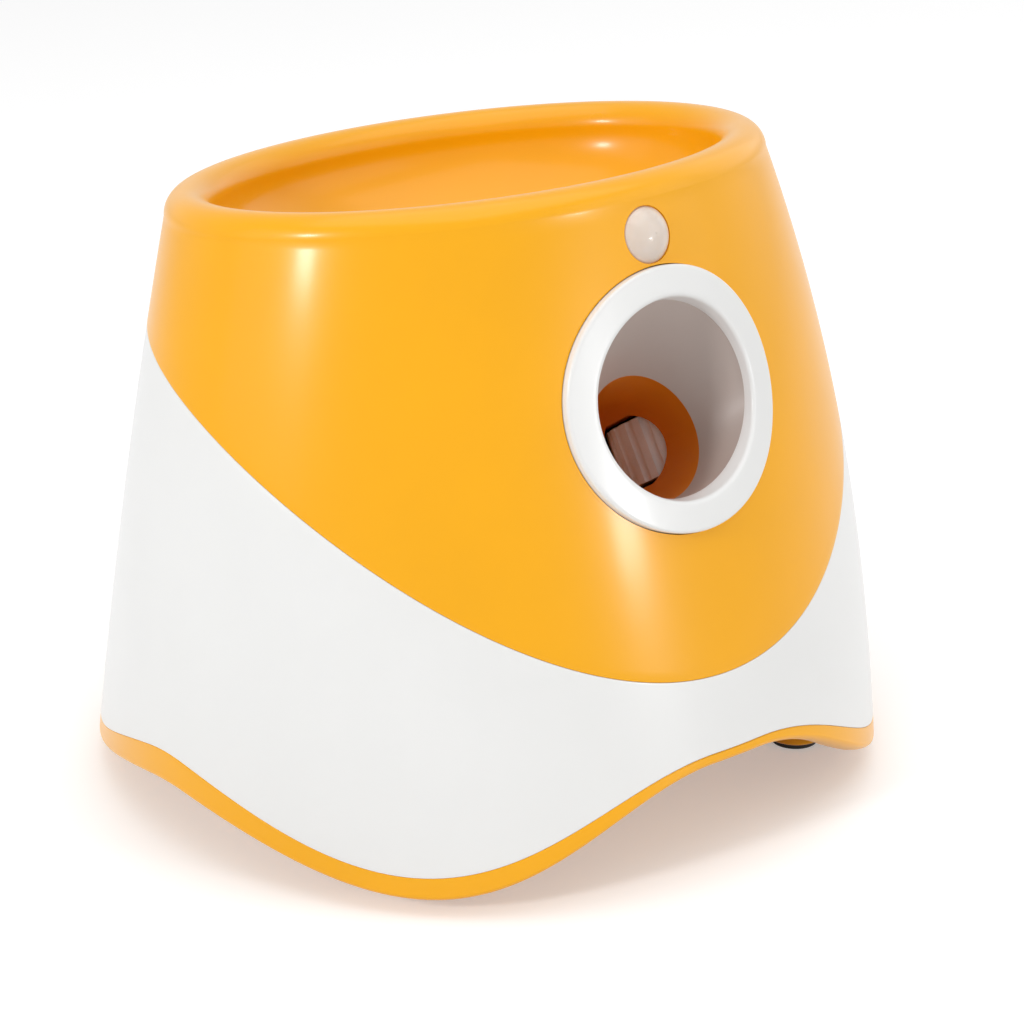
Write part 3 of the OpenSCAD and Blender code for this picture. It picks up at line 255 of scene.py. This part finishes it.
def edge_round(g, first, last, r=SEAM_ROUND):
    """Adds rounded edges of radius r to the first and last rows of a grid of outer points."""
    n = grid_normals(g)
    rows = list(g)

    def edge(row, nxt, nor):
        d = nxt - row
        d /= np.linalg.norm(d, axis=-1, keepdims=True)
        return [row + d * r * (1 - math.sin(a)) - nor * r * (1 - math.cos(a))
                for a in np.radians(EDGE_ANGLES)]

    if last:
        rows = rows[:-1] + edge(g[-1], g[-2], n[-1])[::-1]
    if first:
        rows = edge(g[0], g[1], n[0]) + rows[1:]
    return np.array(rows)


def shell(outer, last=True):
    """Closed skin of an outer grid and its inner offset, with a rounded first and, if asked, last edge."""
    inner = outer - WALL * grid_normals(outer)
    g = np.concatenate([edge_round(outer, True, last), inner[::-1]])
    return g.reshape(-1, 3), loop_faces(len(g), outer.shape[1])


def tube(profile, at, n):
    """Turned closed profile of (radius, height) about a vertical axis."""
    a = np.arange(n) * 2 * np.pi / n
    g = np.array([[(at[0] + r * math.cos(t), at[1] + r * math.sin(t), at[2] + z) for t in a]
                  for r, z in profile])
    return g.reshape(-1, 3), loop_faces(len(profile), n)


def cylinder(r, z0, z1, n):
    a = np.arange(n) * 2 * np.pi / n
    v = [(r * math.cos(t), r * math.sin(t), z) for z in (z0, z1) for t in a]
    f = [(i, (i + 1) % n, n + (i + 1) % n, n + i) for i in range(n)]
    f += [tuple(range(n))[::-1], tuple(range(n, 2 * n))]
    return np.array(v), f


def block(half_x, half_y, z0, z1, y=0.0):
    """Box about the Z axis, or about a line at y that is parallel to it."""
    v = [(px, y + py, z) for z in (z0, z1) for py in (-half_y, half_y) for px in (-half_x, half_x)]
    f = [(0, 2, 3, 1), (4, 5, 7, 6), (0, 1, 5, 4), (2, 6, 7, 3), (0, 4, 6, 2), (1, 3, 7, 5)]
    return np.array(v, float), f


def cutter(name, solid, matrix=None):
    me = mesh_mm(name, *solid, matrix)
    bm = bmesh.new()
    bm.from_mesh(me)
    bmesh.ops.recalc_face_normals(bm, faces=bm.faces)
    bm.to_mesh(me)
    bm.free()
    return link(name, me)


def carve(ob, cutters):
    """Cuts the cutters out of ob, and gives each smooth face the normals that it had before."""
    src = ob.data.copy()
    tree = BVHTree.FromPolygons([v.co.copy() for v in src.vertices],
                                [tuple(p.vertices) for p in src.polygons])
    src_n = np.empty(len(src.vertices) * 3)
    src.vertices.foreach_get("normal", src_n)
    src_n = src_n.reshape(-1, 3)
    for c in cutters:
        mod = ob.modifiers.new("cut", "BOOLEAN")
        mod.operation = "DIFFERENCE"
        mod.solver = "EXACT"
        mod.object = c
    me = bpy.data.meshes.new_from_object(ob.evaluated_get(bpy.context.evaluated_depsgraph_get()))
    ob.modifiers.clear()
    ob.data = me
    for c in cutters:
        bpy.data.objects.remove(c)
    normals = [None] * len(me.loops)
    for p in me.polygons:
        p.use_smooth = True
        for li in p.loop_indices:
            co = me.vertices[me.loops[li].vertex_index].co
            _, face_n, idx, dist = tree.find_nearest(co)
            n = p.normal
            if dist is not None and dist < NEAR_SKIN and abs(face_n.dot(p.normal)) > SAME_WAY:
                total = Vector((0, 0, 0))
                weights = 0.0
                for vi in src.polygons[idx].vertices:
                    k = 1.0 / ((src.vertices[vi].co - co).length_squared + 1e-10)
                    total += Vector(src_n[vi]) * k
                    weights += k
                n = (total / weights).normalized()
                if n.dot(p.normal) < 0:
                    n = p.normal
            normals[li] = n
    me.normals_split_custom_set(normals)
    return ob


# ------------------------------------------------------------------ upper and middle shell
TAN = math.tan(math.radians(RIM_TILT))
ROLL_AXIS = np.array([0, sind(RIM_TILT), cosd(RIM_TILT)])


def rim_pt(u, turn):
    r = RIM_ROLL * (cosd(turn) - 1)
    y = -(RIM_D / 2 + r) * cosd(u)
    p = np.stack([(RIM_W / 2 + r) * sind(u), RIM_SHIFT + y, BODY_H - y * TAN], -1)
    return p + ROLL_AXIS * RIM_ROLL * sind(turn)


def bowl_pt(u, t):
    e = (1 - cosd(BOWL_SWEEP * t)) / (1 - cosd(BOWL_SWEEP))
    h = sind(BOWL_SWEEP * t) / sind(BOWL_SWEEP)
    a = mix(RIM_W / 2 - 2 * RIM_ROLL, THROAT_R + THROAT_ROUND, e)
    b = mix(RIM_D / 2 - 2 * RIM_ROLL, THROAT_R + THROAT_ROUND, e)
    y = -b * cosd(u)
    return np.stack([a * sind(u), mix(RIM_SHIFT, FEED[1], e) + y,
                     mix(BODY_H - y * TAN, THROAT_Z, h)], -1)


def throat_pt(u, grow, drop):
    r = THROAT_R + grow
    return np.stack([r * sind(u), FEED[1] - r * cosd(u), np.full_like(u, THROAT_Z - drop)], -1)


def wall_rows(start, end, rows):
    """Rows of the wall between two shares of the height, each given for every azimuth."""
    return [wall_pt(UU, mix(start, end, k / rows)) for k in range(rows + 1)]


upper_rows = wall_rows(upper_seam(UU), np.ones(TURN), UPPER_ROWS)
upper_rows += [rim_pt(UU, turn) for turn in range(ROLL_STEP, 180, ROLL_STEP)]
upper_rows += [bowl_pt(UU, k / BOWL_ROWS) for k in range(BOWL_ROWS + 1)]
upper_rows += [throat_pt(UU, THROAT_ROUND * (1 - sind(a)), THROAT_ROUND * (1 - cosd(a)))
               for a in range(THROAT_STEP, 90 + THROAT_STEP, THROAT_STEP)]
upper_rows += [throat_pt(UU, 0, THROAT_LEN)]
v, f = shell(np.array(upper_rows), last=False)
upper = new_object("hopper_housing", v, f, "upper_shell")
carve(upper, [cutter("ring_hole", cylinder(RING_R + FIT, *RING_CUT, 256), AT_MUZZLE),
              cutter("lens_hole", cylinder(LENS_R + LENS_FIT, *LENS_CUT, 128), AT_LENS),
              cutter("lens_sight", cylinder(LENS_R - LENS_SEAT, *LENS_SIGHT_CUT, 128), AT_LENS)])

v, f = shell(np.array(wall_rows(lower_seam(UU), upper_seam(UU) - SEAM_SHOWN / BODY_H, MIDDLE_ROWS)))
middle = new_object("white_housing", v, f, "mid_shell")
carve(middle, [cutter("panel_hole", block(PANEL_W / 2 + FIT, PANEL_H / 2 + FIT, *PANEL_CUT), AT_PANEL)])


# ------------------------------------------------------------------ base
def under_pt(u, r):
    """Point of the base's underside at azimuth u and share r of the way out to the lower edge."""
    s = base_edge(u)
    edge = wall_pt(u, s)[..., 2]
    curl = EDGE_CURL * math.sqrt(1 - (max(0, r - CURL_SHARE) / (1 - CURL_SHARE)) ** 2)
    z = mix(FLOOR_Z, edge - curl, smooth((r - FLAT_SHARE) / (CURL_SHARE - FLAT_SHARE)))
    return np.stack([r * half_w(s) * sind(u), r * (mid_y(s) - half_d(s) * cosd(u)), z], -1)


def tub_mesh():
    """The base: a closed underside that rises into the wavy edge, and the band of wall above it."""
    # Rings of the underside, which are closer together where it rises and where it curls up
    shares = [0.02, 0.3, 0.6] + [0.62 + 0.02 * k for k in range(16)]
    shares += [CURL_SHARE + (1 - CURL_SHARE) * math.sin(math.radians(a)) for a in range(10, 90, 10)]
    outer = [under_pt(UU, r) for r in shares]
    outer += wall_rows(base_edge(UU), lower_seam(UU) - SEAM_SHOWN / BODY_H, BAND_ROWS)
    outer = np.array(outer)
    inner = outer - WALL * grid_normals(outer)
    rows = np.concatenate([edge_round(outer, False, True), inner[::-1]])
    last = (len(rows) - 1) * TURN
    faces = loop_faces(len(rows), TURN, False)
    faces += [tuple(range(TURN))[::-1], tuple(range(last, last + TURN))]
    return rows.reshape(-1, 3), faces


v, f = tub_mesh()
tub = new_object("base_housing", v, f, "base_tub")
cut_low, cut_high, door_top = FLOOR_Z + BATTERY_CUT[0], FLOOR_Z + BATTERY_CUT[1], FLOOR_Z + DOOR_T
box_x, box_y = BATTERY_HALF
tab_y = box_y + DOOR_TAB_AT + DOOR_TAB[1] + FIT
carve(tub, [cutter("battery_hole", block(box_x, box_y, cut_low, cut_high, BATTERY_Y)),
            cutter("door_seat", block(box_x + DOOR_LIP + FIT, box_y + DOOR_LIP + FIT, cut_low, door_top,
                                      BATTERY_Y)),
            cutter("tab_seats", block(DOOR_TAB[0] + FIT, tab_y, cut_low, door_top, BATTERY_Y))])

# Bosses of the feet, with the recess that a pad sits in, as a piece of their own
boss_r = PAD_R + BOSS_RIM
boss_low = PAD_RECESS - 1
BOSS = [(SCREW_R, PAD_RECESS), (PAD_R + FIT, PAD_RECESS), (PAD_R + FIT, boss_low),
        (boss_r - BOSS_CHAMFER, boss_low), (boss_r, boss_low + BOSS_CHAMFER), (boss_r, BOSS_TOP),
        (POST_R, BOSS_TOP), (POST_R, POST_TOP), (SCREW_R, POST_TOP)]
boss_v, boss_f = [], []
for u in (FOOT_AZ, 180 - FOOT_AZ, 180 + FOOT_AZ, 360 - FOOT_AZ):
    at = under_pt(np.array([u]), FOOT_SHARE)[0]
    v, f = tube(BOSS, (at[0], at[1], 0), 96)
    boss_f += [tuple(i + len(v) * len(boss_v) for i in q) for q in f]
    boss_v.append(v)
bosses = new_object("foot_bosses", np.concatenate(boss_v), boss_f)
bosses.data.set_sharp_from_angle(angle=math.radians(BOSS_SHARP))

# ------------------------------------------------------------------ muzzle
FRONT_R = half_w(MUZZLE_S) ** 2 / half_d(MUZZLE_S)


def drum_z(x, grow):
    """Height of the front wall's curve over the plane that touches it at the mouth's middle."""
    return -FRONT_R + np.sqrt((FRONT_R + grow) ** 2 - x * x)


def ring_mesh(n=288):
    """The muzzle's ring, which follows the curve of the front wall, with softened edges."""
    a = np.arange(n) * 2 * np.pi / n
    ca, sa = np.cos(a), np.sin(a)
    cone = LIP_FLARE / (PROUD + LIP_OVER + RECESS)
    r_in = np.full(n, MOUTH_R + LIP_FLARE)
    # The cone meets a curved face, so the radius where they meet is found by repeated steps
    for _ in range(30):
        r_in = MOUTH_R + (drum_z(r_in * ca, PROUD) + RECESS) * cone
    rows = [(np.full(n, RING_R), np.full(n, -SKIRT_DEPTH))]
    for t in np.radians(np.linspace(0, 90, 9)):
        r = RING_R - RING_ROUND * (1 - np.cos(t))
        rows.append((np.full(n, r), drum_z(r * ca, PROUD) - RING_ROUND * (1 - np.sin(t))))
    for k in range(1, 10):
        r = mix(RING_R - RING_ROUND, r_in + LIP_ROUND, k / 10)
        rows.append((r, drum_z(r * ca, PROUD)))
    # The lip is a quadratic curve from the face into the cone of the mouth
    top = drum_z(r_in * ca, PROUD)
    face_end = (r_in + LIP_ROUND, drum_z((r_in + LIP_ROUND) * ca, PROUD))
    cone_start = (r_in - LIP_ROUND * cone, top - LIP_ROUND)
    for t in np.linspace(0, 1, 9):
        rows.append(tuple((1 - t) ** 2 * q0 + 2 * t * (1 - t) * q1 + t * t * q2
                          for q0, q1, q2 in zip(face_end, (r_in, top), cone_start)))
    for t in np.linspace(0.1, 1, 8):
        rows.append((mix(cone_start[0], MOUTH_R, t), mix(cone_start[1], -RECESS, t)))
    skirt_in, skirt_out = MOUTH_R + LIP_SKIRT[0], MOUTH_R + LIP_SKIRT[1]
    for r, z in ((MOUTH_R, LIP_BACK), (skirt_in, LIP_BACK), (skirt_in, SKIRT_DEPTH),
                 (skirt_out, SKIRT_DEPTH), (skirt_out, RING_BACK), (RING_R - SKIRT_T, RING_BACK),
                 (RING_R - SKIRT_T, SKIRT_DEPTH)):
        rows.append((np.full(n, r), np.full(n, -z)))
    g = np.array([np.stack([r * ca, r * sa, z], -1) for r, z in rows])
    return g.reshape(-1, 3), loop_faces(len(rows), n)


def moved(v, m):
    turn = np.array(m.to_3x3())
    return v @ turn.T + np.array(m.translation) * 1000


def nozzle_rows(grow, n=192, rows=12):
    """Rows of the funnel's wall from the mouth to the channel, grown by its thickness or not."""
    a = np.arange(n) * 360.0 / n

    def circle(at, r, lean):
        return at + r * np.stack([cosd(a), sind(a) * sind(lean), sind(a) * cosd(lean)], -1)

    mouth = circle(MUZZLE_AT, MOUTH_R + grow, MUZZLE_LEAN)
    mouth = mouth + (RECESS + NOZZLE_GAP) * np.array([0, cosd(MUZZLE_LEAN), -sind(MUZZLE_LEAN)])
    channel = circle(LAUNCH_AT, CHANNEL_R + grow, LAUNCH_ANGLE)
    return [mix(mouth, channel, k / rows) for k in range(rows + 1)]


v, f = ring_mesh()
ring = new_object("muzzle_trim", moved(v, AT_MUZZLE), f, "muzzle_ring")
g = np.array(nozzle_rows(NOZZLE_T)[::-1] + nozzle_rows(0.0))
nozzle = new_object("muzzle_funnel", g.reshape(-1, 3), loop_faces(len(g), g.shape[1]),
                    "muzzle_nozzle")
for ob in (ring, nozzle):
    ob.data.set_sharp_from_angle(angle=math.radians(MUZZLE_SHARP))


# ------------------------------------------------------------------ materials
PLASTIC_IOR = 1.5
VARY_RAMP = (0.3, 0.7)                   # share of the noise that the colour swings over
ROUGH_SCALE = 35                         # noise scale of the gloss
RELIEF_DEPTH = 0.0004


def noise(tree, coords, scale, detail):
    n = tree.nodes.new("ShaderNodeTexNoise")
    n.inputs["Scale"].default_value = scale
    n.inputs["Detail"].default_value = detail
    tree.links.new(coords.outputs["Object"], n.inputs["Vector"])
    return n.outputs["Fac"]


def material(name, colour, rough, coat=0.0, coat_rough=0.05, metal=0.0, spec=0.5, bump=0.0, scale=900.0,
             vary=0.0, vary_scale=18.0, trans=0.0, sss=0.0, sss_r=(0.01, 0.01, 0.01), rough_vary=0.0):
    """Procedural finish: a base colour with slight variation, a fine moulded or brushed bump and a gloss."""
    m = bpy.data.materials.new(name)
    m.use_nodes = True
    t = m.node_tree
    t.nodes.clear()
    out = t.nodes.new("ShaderNodeOutputMaterial")
    b = t.nodes.new("ShaderNodeBsdfPrincipled")
    t.links.new(b.outputs[0], out.inputs[0])
    b.inputs["Base Color"].default_value = (*colour, 1)
    b.inputs["Metallic"].default_value = metal
    b.inputs["Roughness"].default_value = rough
    b.inputs["IOR"].default_value = PLASTIC_IOR
    b.inputs["Specular IOR Level"].default_value = spec
    b.inputs["Coat Weight"].default_value = coat
    b.inputs["Coat Roughness"].default_value = coat_rough
    b.inputs["Transmission Weight"].default_value = trans
    b.inputs["Subsurface Weight"].default_value = sss
    b.inputs["Subsurface Radius"].default_value = sss_r
    coords = t.nodes.new("ShaderNodeTexCoord")
    if vary:
        ramp = t.nodes.new("ShaderNodeValToRGB")
        low, high = ramp.color_ramp.elements
        low.position, high.position = VARY_RAMP
        low.color = (*[c * (1 - vary) for c in colour], 1)
        high.color = (*[min(1, c * (1 + vary)) for c in colour], 1)
        t.links.new(noise(t, coords, vary_scale, 3), ramp.inputs["Fac"])
        t.links.new(ramp.outputs["Color"], b.inputs["Base Color"])
    if rough_vary:
        span = t.nodes.new("ShaderNodeMapRange")
        span.inputs["To Min"].default_value = rough - rough_vary
        span.inputs["To Max"].default_value = rough + rough_vary
        t.links.new(noise(t, coords, ROUGH_SCALE, 4), span.inputs["Value"])
        t.links.new(span.outputs["Result"], b.inputs["Roughness"])
    if bump:
        relief = t.nodes.new("ShaderNodeBump")
        relief.inputs["Strength"].default_value = bump
        relief.inputs["Distance"].default_value = RELIEF_DEPTH
        t.links.new(noise(t, coords, scale, 2), relief.inputs["Height"])
        t.links.new(relief.outputs["Normal"], b.inputs["Normal"])
    return m


FINISHES = {
    "orange_gloss": dict(colour=(0.90, 0.41, 0.002), rough=0.3, spec=0.25, coat=0.22, coat_rough=0.15,
                         bump=0.03, scale=160, vary=0.02, rough_vary=0.05),
    "white_gloss": dict(colour=(0.80, 0.80, 0.79), rough=0.3, spec=0.3, coat=0.2, coat_rough=0.15,
                        bump=0.03, scale=160, vary=0.01, rough_vary=0.05),
    # Painted shade: the funnel's white plastic is darkened and warmed to stand in for the shade and orange
    # bounce light inside the mouth
    "funnel_white_painted_shade": dict(colour=(0.42, 0.345, 0.31), rough=0.42, coat=0.15, coat_rough=0.2,
                         bump=0.04, scale=160, vary=0.015, rough_vary=0.06),
    # Painted shade: the chamber's orange plastic is darkened and reddened to stand in for the shade and
    # orange bounce light inside the mouth
    "channel_orange_painted_shade": dict(colour=(0.70, 0.20, 0.006), rough=0.45, spec=0.3, bump=0.05, scale=400,
                           vary=0.03, rough_vary=0.05),
    "lens_translucent": dict(colour=(0.70, 0.60, 0.52), rough=0.3, sss=0.5, sss_r=(0.005, 0.004, 0.003),
                             coat=0.3, vary=0.03, vary_scale=120, bump=0.06, scale=500, rough_vary=0.05),
    "foot_rubber": dict(colour=(0.03, 0.03, 0.03), rough=0.85, bump=0.4, scale=700, vary=0.15),
    "tread_foam": dict(colour=(0.78, 0.79, 0.78), rough=0.7, bump=0.35, scale=1400, vary=0.05,
                       vary_scale=90),
    "grey_plastic": dict(colour=(0.3, 0.31, 0.33), rough=0.5, bump=0.15, scale=1200, vary=0.05),
    "white_nylon": dict(colour=(0.78, 0.78, 0.74), rough=0.42, sss=0.1, sss_r=(0.002, 0.002, 0.002),
                        bump=0.08, scale=900, vary=0.03),
    "dark_plastic": dict(colour=(0.02, 0.02, 0.022), rough=0.42, bump=0.2, scale=1300, vary=0.1),
    "board_green": dict(colour=(0.012, 0.11, 0.035), rough=0.4, coat=0.3, vary=0.2, vary_scale=160),
    "light_green": dict(colour=(0.2, 0.75, 0.28), rough=0.2, trans=0.3, vary=0.04),
    "steel": dict(colour=(0.62, 0.63, 0.65), rough=0.3, metal=1.0, bump=0.1, scale=1500, vary=0.06,
                  vary_scale=120),
    "brass_gear": dict(colour=(0.72, 0.5, 0.17), rough=0.32, metal=1.0, bump=0.1, scale=1500, vary=0.06,
                       vary_scale=120),
    "cell_wrap": dict(colour=(0.03, 0.033, 0.045), rough=0.3, coat=0.5, vary=0.1, vary_scale=60),
}
MATS = {name: material(name, **finish) for name, finish in FINISHES.items()}
# Pieces that the mouth shows in deep shade get a darker, redder orange of their own, with that shade painted
# into the colour
IN_SHADE = {"chamber_upper": "channel_orange_painted_shade", "chamber_lower": "channel_orange_painted_shade",
            "chamber_cap": "channel_orange_painted_shade"}


def smooth_group():
    """Node group that shades smooth across every edge flatter than SMOOTH_ANGLE."""
    g = bpy.data.node_groups.new("smooth_by_angle", "GeometryNodeTree")
    g.interface.new_socket("Geometry", in_out="INPUT", socket_type="NodeSocketGeometry")
    g.interface.new_socket("Geometry", in_out="OUTPUT", socket_type="NodeSocketGeometry")
    start, end = g.nodes.new("NodeGroupInput"), g.nodes.new("NodeGroupOutput")
    angle = g.nodes.new("GeometryNodeInputMeshEdgeAngle")
    flat = g.nodes.new("FunctionNodeCompare")
    flat.data_type = "FLOAT"
    flat.operation = "LESS_EQUAL"
    flat.inputs[1].default_value = math.radians(SMOOTH_ANGLE)
    edges, faces = g.nodes.new("GeometryNodeSetShadeSmooth"), g.nodes.new("GeometryNodeSetShadeSmooth")
    edges.domain, faces.domain = "EDGE", "FACE"
    g.links.new(angle.outputs["Unsigned Angle"], flat.inputs[0])
    g.links.new(start.outputs[0], edges.inputs["Mesh" if "Mesh" in edges.inputs else 0])
    g.links.new(flat.outputs[0], edges.inputs["Shade Smooth"])
    g.links.new(edges.outputs[0], faces.inputs[0])
    g.links.new(faces.outputs[0], end.inputs[0])
    return g


def dress(ob, key):
    ob.data.materials.clear()
    ob.data.materials.append(MATS[key])


smooth_by_angle = smooth_group()
slot_of = {s["node"]: s["material_slot"] for s in frame["record"]["subparts"]}
for name, ob in NODES.items():
    dress(ob, IN_SHADE.get(name, slot_of[name]))
    ob.modifiers.new("smooth_by_angle", "NODES").node_group = smooth_by_angle
for ob, key in ((upper, "orange_gloss"), (middle, "white_gloss"), (tub, "orange_gloss"),
                (bosses, "orange_gloss"), (ring, "white_gloss"), (nozzle, "funnel_white_painted_shade")):
    dress(ob, key)


# ------------------------------------------------------------------ floor and surroundings
FLOOR_HALF = 9                           # metres from the middle to the floor's edge
FLOOR_PALE, FLOOR_GLOW = 0.82, 0.32      # colour, and the light added where the camera sees it
WORLD_FILL, WORLD_SEEN = 0.42, 1.0       # strength as light, and as it is seen


def seen_white(tree, dark, bright, out):
    """Shows the bright shader to the camera and in reflections, and the dark one to the light."""
    lp = tree.nodes.new("ShaderNodeLightPath")
    last = lp.outputs["Is Camera Ray"]
    for key in ("Is Glossy Ray", "Is Transmission Ray"):
        k = tree.nodes.new("ShaderNodeMath")
        k.operation = "MAXIMUM"
        tree.links.new(last, k.inputs[0])
        tree.links.new(lp.outputs[key], k.inputs[1])
        last = k.outputs[0]
    m = tree.nodes.new("ShaderNodeMixShader")
    tree.links.new(last, m.inputs[0])
    tree.links.new(dark, m.inputs[1])
    tree.links.new(bright, m.inputs[2])
    tree.links.new(m.outputs[0], out)


def floor_material():
    pale = bpy.data.materials.new("floor_pale")
    pale.use_nodes = True
    t = pale.node_tree
    t.nodes.clear()
    out = t.nodes.new("ShaderNodeOutputMaterial")
    diffuse = t.nodes.new("ShaderNodeBsdfDiffuse")
    diffuse.inputs[0].default_value = (FLOOR_PALE, FLOOR_PALE, FLOOR_PALE, 1)
    glow = t.nodes.new("ShaderNodeEmission")
    glow.inputs[1].default_value = FLOOR_GLOW
    both = t.nodes.new("ShaderNodeAddShader")
    t.links.new(diffuse.outputs[0], both.inputs[0])
    t.links.new(glow.outputs[0], both.inputs[1])
    seen_white(t, diffuse.outputs[0], both.outputs[0], out.inputs[0])
    return pale


scene = bpy.context.scene
floor_mesh = bpy.data.meshes.new("studio_floor")
floor_mesh.from_pydata([(-FLOOR_HALF, -FLOOR_HALF, 0), (FLOOR_HALF, -FLOOR_HALF, 0),
                        (FLOOR_HALF, FLOOR_HALF, 0), (-FLOOR_HALF, FLOOR_HALF, 0)], [], [(0, 1, 2, 3)])
floor_mesh.materials.append(floor_material())
link("studio_floor", floor_mesh)

world = bpy.data.worlds.new("studio")
scene.world = world
world.use_nodes = True
wt = world.node_tree
wt.nodes.clear()
w_out = wt.nodes.new("ShaderNodeOutputWorld")
w_fill, w_seen = wt.nodes.new("ShaderNodeBackground"), wt.nodes.new("ShaderNodeBackground")
for background, strength in ((w_fill, WORLD_FILL), (w_seen, WORLD_SEEN)):
    background.inputs[0].default_value = (1, 1, 1, 1)
    background.inputs[1].default_value = strength
seen_white(wt, w_fill.outputs[0], w_seen.outputs[0], w_out.inputs[0])


# ------------------------------------------------------------------ lamps and camera
def aim(ob, at, direction):
    ob.location = at
    ob.rotation_mode = "QUATERNION"
    ob.rotation_quaternion = direction.to_track_quat("-Z", "Y")


def area(name, at, target, size, power):
    d = bpy.data.lights.new(name, "AREA")
    d.shape = "RECTANGLE"
    d.size, d.size_y = size
    d.energy = power
    aim(link(name, d), at, Vector(target) - Vector(at))


area("top_soft", (0.1, -0.2, 2.7), (0, 0, 0.1), (3.0, 3.0), 35)
area("front_right", (1.7, -2.0, 1.3), (0, 0, 0.15), (2.2, 1.8), 8.5)
area("left_fill", (-2.6, 0.3, 1.1), (0, 0, 0.15), (2.0, 1.8), 7.5)
area("right_fill", (2.4, 0.2, 1.2), (0, 0, 0.15), (1.8, 1.6), 5)
# Two small ones give the bright reflection at the left and the one under the ring
area("left_window", (-1.87, -0.27, 0.98), (-0.12, -0.04, 0.24), (0.25, 0.27), 13)
area("low_window", (0.60, -2.05, 0.40), (-0.03, -0.13, 0.14), (0.26, 0.18), 7.5)

CAM_AZ, CAM_EL, CAM_DIST = math.radians(-39.5), math.radians(21.682), 1.4045
AIM_SIDE, AIM_Z = 0.011903, 0.10509      # the point looked at, beside and above the form's origin
FOCAL_PX, PICTURE_PX, SENSOR = 3276.9, 1024, 36
target = TO_FRAME @ Vector((AIM_SIDE * math.cos(CAM_AZ), AIM_SIDE * math.sin(CAM_AZ), AIM_Z))
back = Vector((math.sin(CAM_AZ) * math.cos(CAM_EL), -math.cos(CAM_AZ) * math.cos(CAM_EL),
               math.sin(CAM_EL)))
cam_data = bpy.data.cameras.new("camera")
cam_data.sensor_width = SENSOR
cam_data.lens = FOCAL_PX * SENSOR / PICTURE_PX
cam_data.clip_start, cam_data.clip_end = 0.01, 50
camera = link("camera", cam_data)
aim(camera, target + back * CAM_DIST, -back)
scene.camera = camera
scene.view_settings.view_transform = "Standard"
